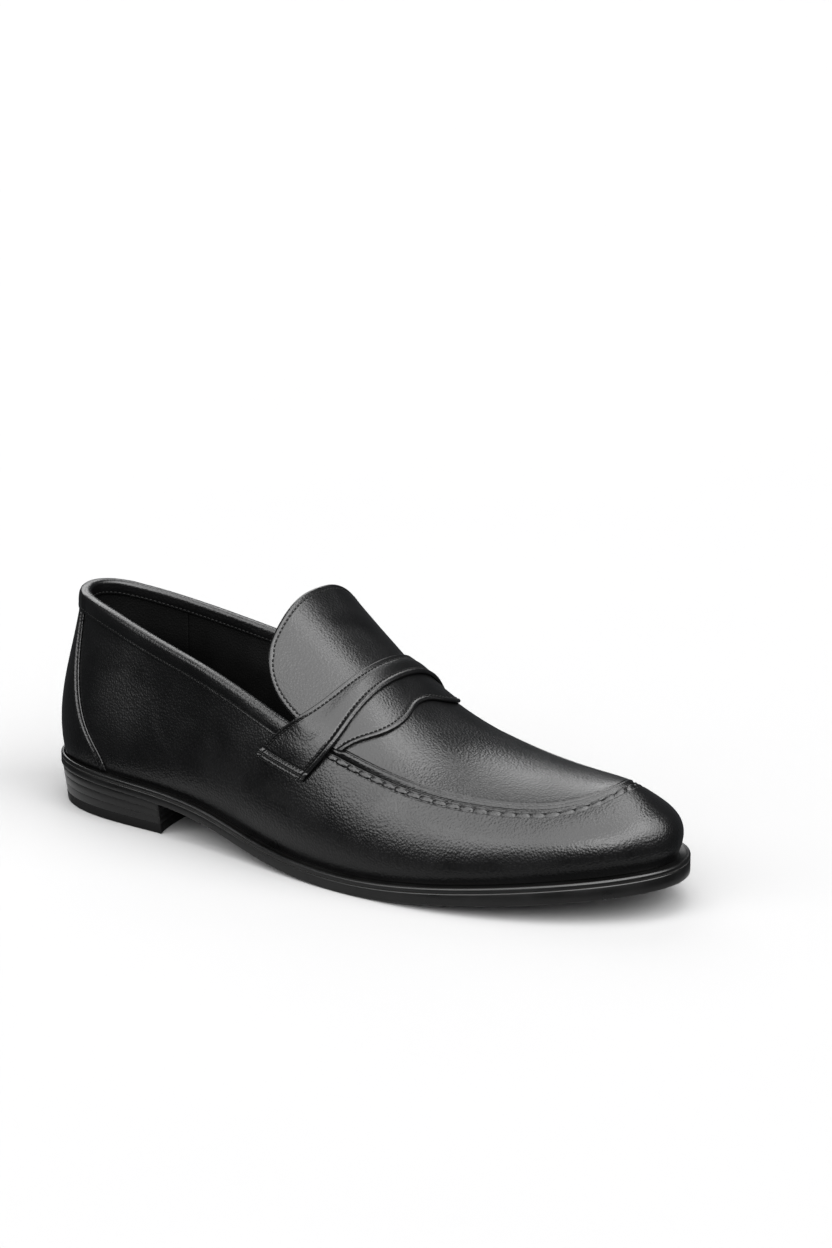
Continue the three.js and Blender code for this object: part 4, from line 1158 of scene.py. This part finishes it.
def make_pad():
    """Heel pad: a crowned cushion that thins out to its rim."""
    plan, _ = bottom_outline(-(INSIDE + 4))
    plan = plan[plan[:, 0] < PAD_FRONT_X - 4]
    plan = np.roll(plan, -(len(plan) // 2), 0)
    centre = np.array([-102.0, 0.0])

    def under(x):
        return insole_top(x) + 0.15

    def crown(x):
        return under(x) + pad_rise(x) - 0.05

    profile = [(0.0, crown, share) for share in (1.0, 0.75, 0.5, 0.25, 0.08)]
    profile.append((0.0, lambda x: under(x) + 0.6 * pad_rise(x), 0.0))
    profile += [(0.3, under, share) for share in (0.0, 0.5, 1.0)]
    pad = bottom_piece("Heel_pad", plan, centre, profile, FOAM, "heel_pad")


# ------------------------------------------------------------------ stage, lights and camera
# Half lengths of the oval near the shoe and the reach of the floor, in metres; the floor's grey.
FLOOR_NEAR = np.array([0.175, 0.085])
FLOOR_FAR = 14.0
FLOOR_TONE = 0.157
# Height, turn from the camera's side and width in degrees, and brightness.
SOFTBOXES = {
    "Key_softbox": (58, -2, 80, 9.0), "Front_softbox": (24, 8, 38, 9.0),
    "Left_softbox": (26, -62, 36, 9.0), "Right_softbox": (38, 62, 50, 10.0),
    "Rear_softbox": (40, -165, 44, 5.0), "Top_softbox": (75, 130, 30, 9.0)}
ROOM_TINT, ROOM_LIGHT = (0.9, 0.95, 1.0), 0.08
CAMERA_TURN, CAMERA_RISE, CAMERA_DISTANCE, CAMERA_LENS = 35.3, 15.0, 1.434, 105.35
CAMERA_TARGET = Vector((0.0276, 0.00085, 0.0970))


def add_floor(name, points, faces, material):
    """A part of the floor."""
    mesh = bpy.data.meshes.new(name)
    mesh.from_pydata(points.tolist(), [], faces)
    mesh.materials.append(material)
    floor = bpy.data.objects.new(name, mesh)
    bpy.context.scene.collection.objects.link(floor)
    return floor


def make_floor():
    """A pale floor: an oval round the shoe that mirrors in the gloss, and the rest, which does not."""
    material, make, link, shader, place = tree("paper_floor")
    cloud = noise(make, link, place, 3.0, 2.0)
    tone = colour_between(make, link, cloud, (FLOOR_TONE,) * 3, (FLOOR_TONE * 1.03,) * 3)
    link(tone, shader.inputs["Base Color"])
    shader.inputs["Roughness"].default_value = 0.9
    shader.inputs["Specular IOR Level"].default_value = 0.1
    count = 96
    angle = np.arange(count) * 2 * np.pi / count
    following = (np.arange(count) + 1) % count
    circle = np.stack([np.cos(angle), np.sin(angle), 0 * angle], -1)
    near = circle * np.append(FLOOR_NEAR, 0)
    middle = np.zeros((1, 3))
    fan = [[count, i, following[i]] for i in range(count)]
    add_floor("Floor_near", np.concatenate([near, middle]), fan, material)
    band = [[i, i + count, following[i] + count, following[i]] for i in range(count)]
    far = add_floor("Floor_far", np.concatenate([near, circle * FLOOR_FAR]), band, material)
    far.visible_glossy = False


def direction(height, bearing):
    """Unit vector at a height over the floor and a bearing from +X, both in degrees."""
    level, bearing = math.radians(height), math.radians(bearing)
    flat = math.cos(level)
    return Vector((flat * math.cos(bearing), flat * math.sin(bearing), math.sin(level)))


def add_softbox(name, height, turn, spread, radiance):
    """A far round softbox that fills a width of sky seen from the shoe, evenly bright."""
    half = math.radians(spread / 2)
    data = bpy.data.lights.new(name, "SUN")
    data.angle = 2 * half
    data.energy = radiance * math.pi * math.sin(half) ** 2
    lamp = bpy.data.objects.new(name, data)
    toward = direction(height, CAMERA_TURN - 90 + turn)
    lamp.location = toward * 2.0
    lamp.rotation_euler = toward.to_track_quat("Z", "Y").to_euler()
    bpy.context.scene.collection.objects.link(lamp)


def make_stage():
    """The floor, the softboxes, the faint light from all round, and plain tones."""
    make_floor()
    for name, settings in SOFTBOXES.items():
        add_softbox(name, *settings)
    world = bpy.data.worlds.new("Studio")
    world.use_nodes = True
    colour, strength = world.node_tree.nodes["Background"].inputs[:2]
    colour.default_value = (*ROOM_TINT, 1)
    strength.default_value = ROOM_LIGHT
    bpy.context.scene.world = world
    bpy.context.scene.view_settings.view_transform = "Standard"


def make_camera():
    """The camera, looking at the shoe from its turn and rise."""
    data = bpy.data.cameras.new("Camera")
    data.sensor_width, data.lens = 36.0, CAMERA_LENS
    data.sensor_fit = "AUTO"
    camera = bpy.data.objects.new("Camera", data)
    back = direction(CAMERA_RISE, CAMERA_TURN - 90)
    camera.location = CAMERA_TARGET + back * CAMERA_DISTANCE
    camera.rotation_euler = back.to_track_quat("Z", "Y").to_euler()
    bpy.context.scene.collection.objects.link(camera)
    bpy.context.scene.camera = camera


def dress_hidden_parts():
    """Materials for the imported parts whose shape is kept."""
    looks = {"heel_counter_stiffener": BOARD, "toe_puff": BOARD, "insole_board": BOARD, "shank": STEEL,
             "bottom_filler": CORK}
    looks.update({f"heel_nail_{i + 1}": STEEL for i in range(len(NAIL_SPOTS))})
    for name, material in looks.items():
        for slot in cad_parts[name].material_slots:
            slot.material = material


make_camera()
make_stage()
make_wall()
make_apron()
make_strap()
make_leaf()
make_counter()
make_binding()
make_linings()
make_welt()
make_outsole()
make_heel()
make_sock()
make_pad()
dress_hidden_parts()
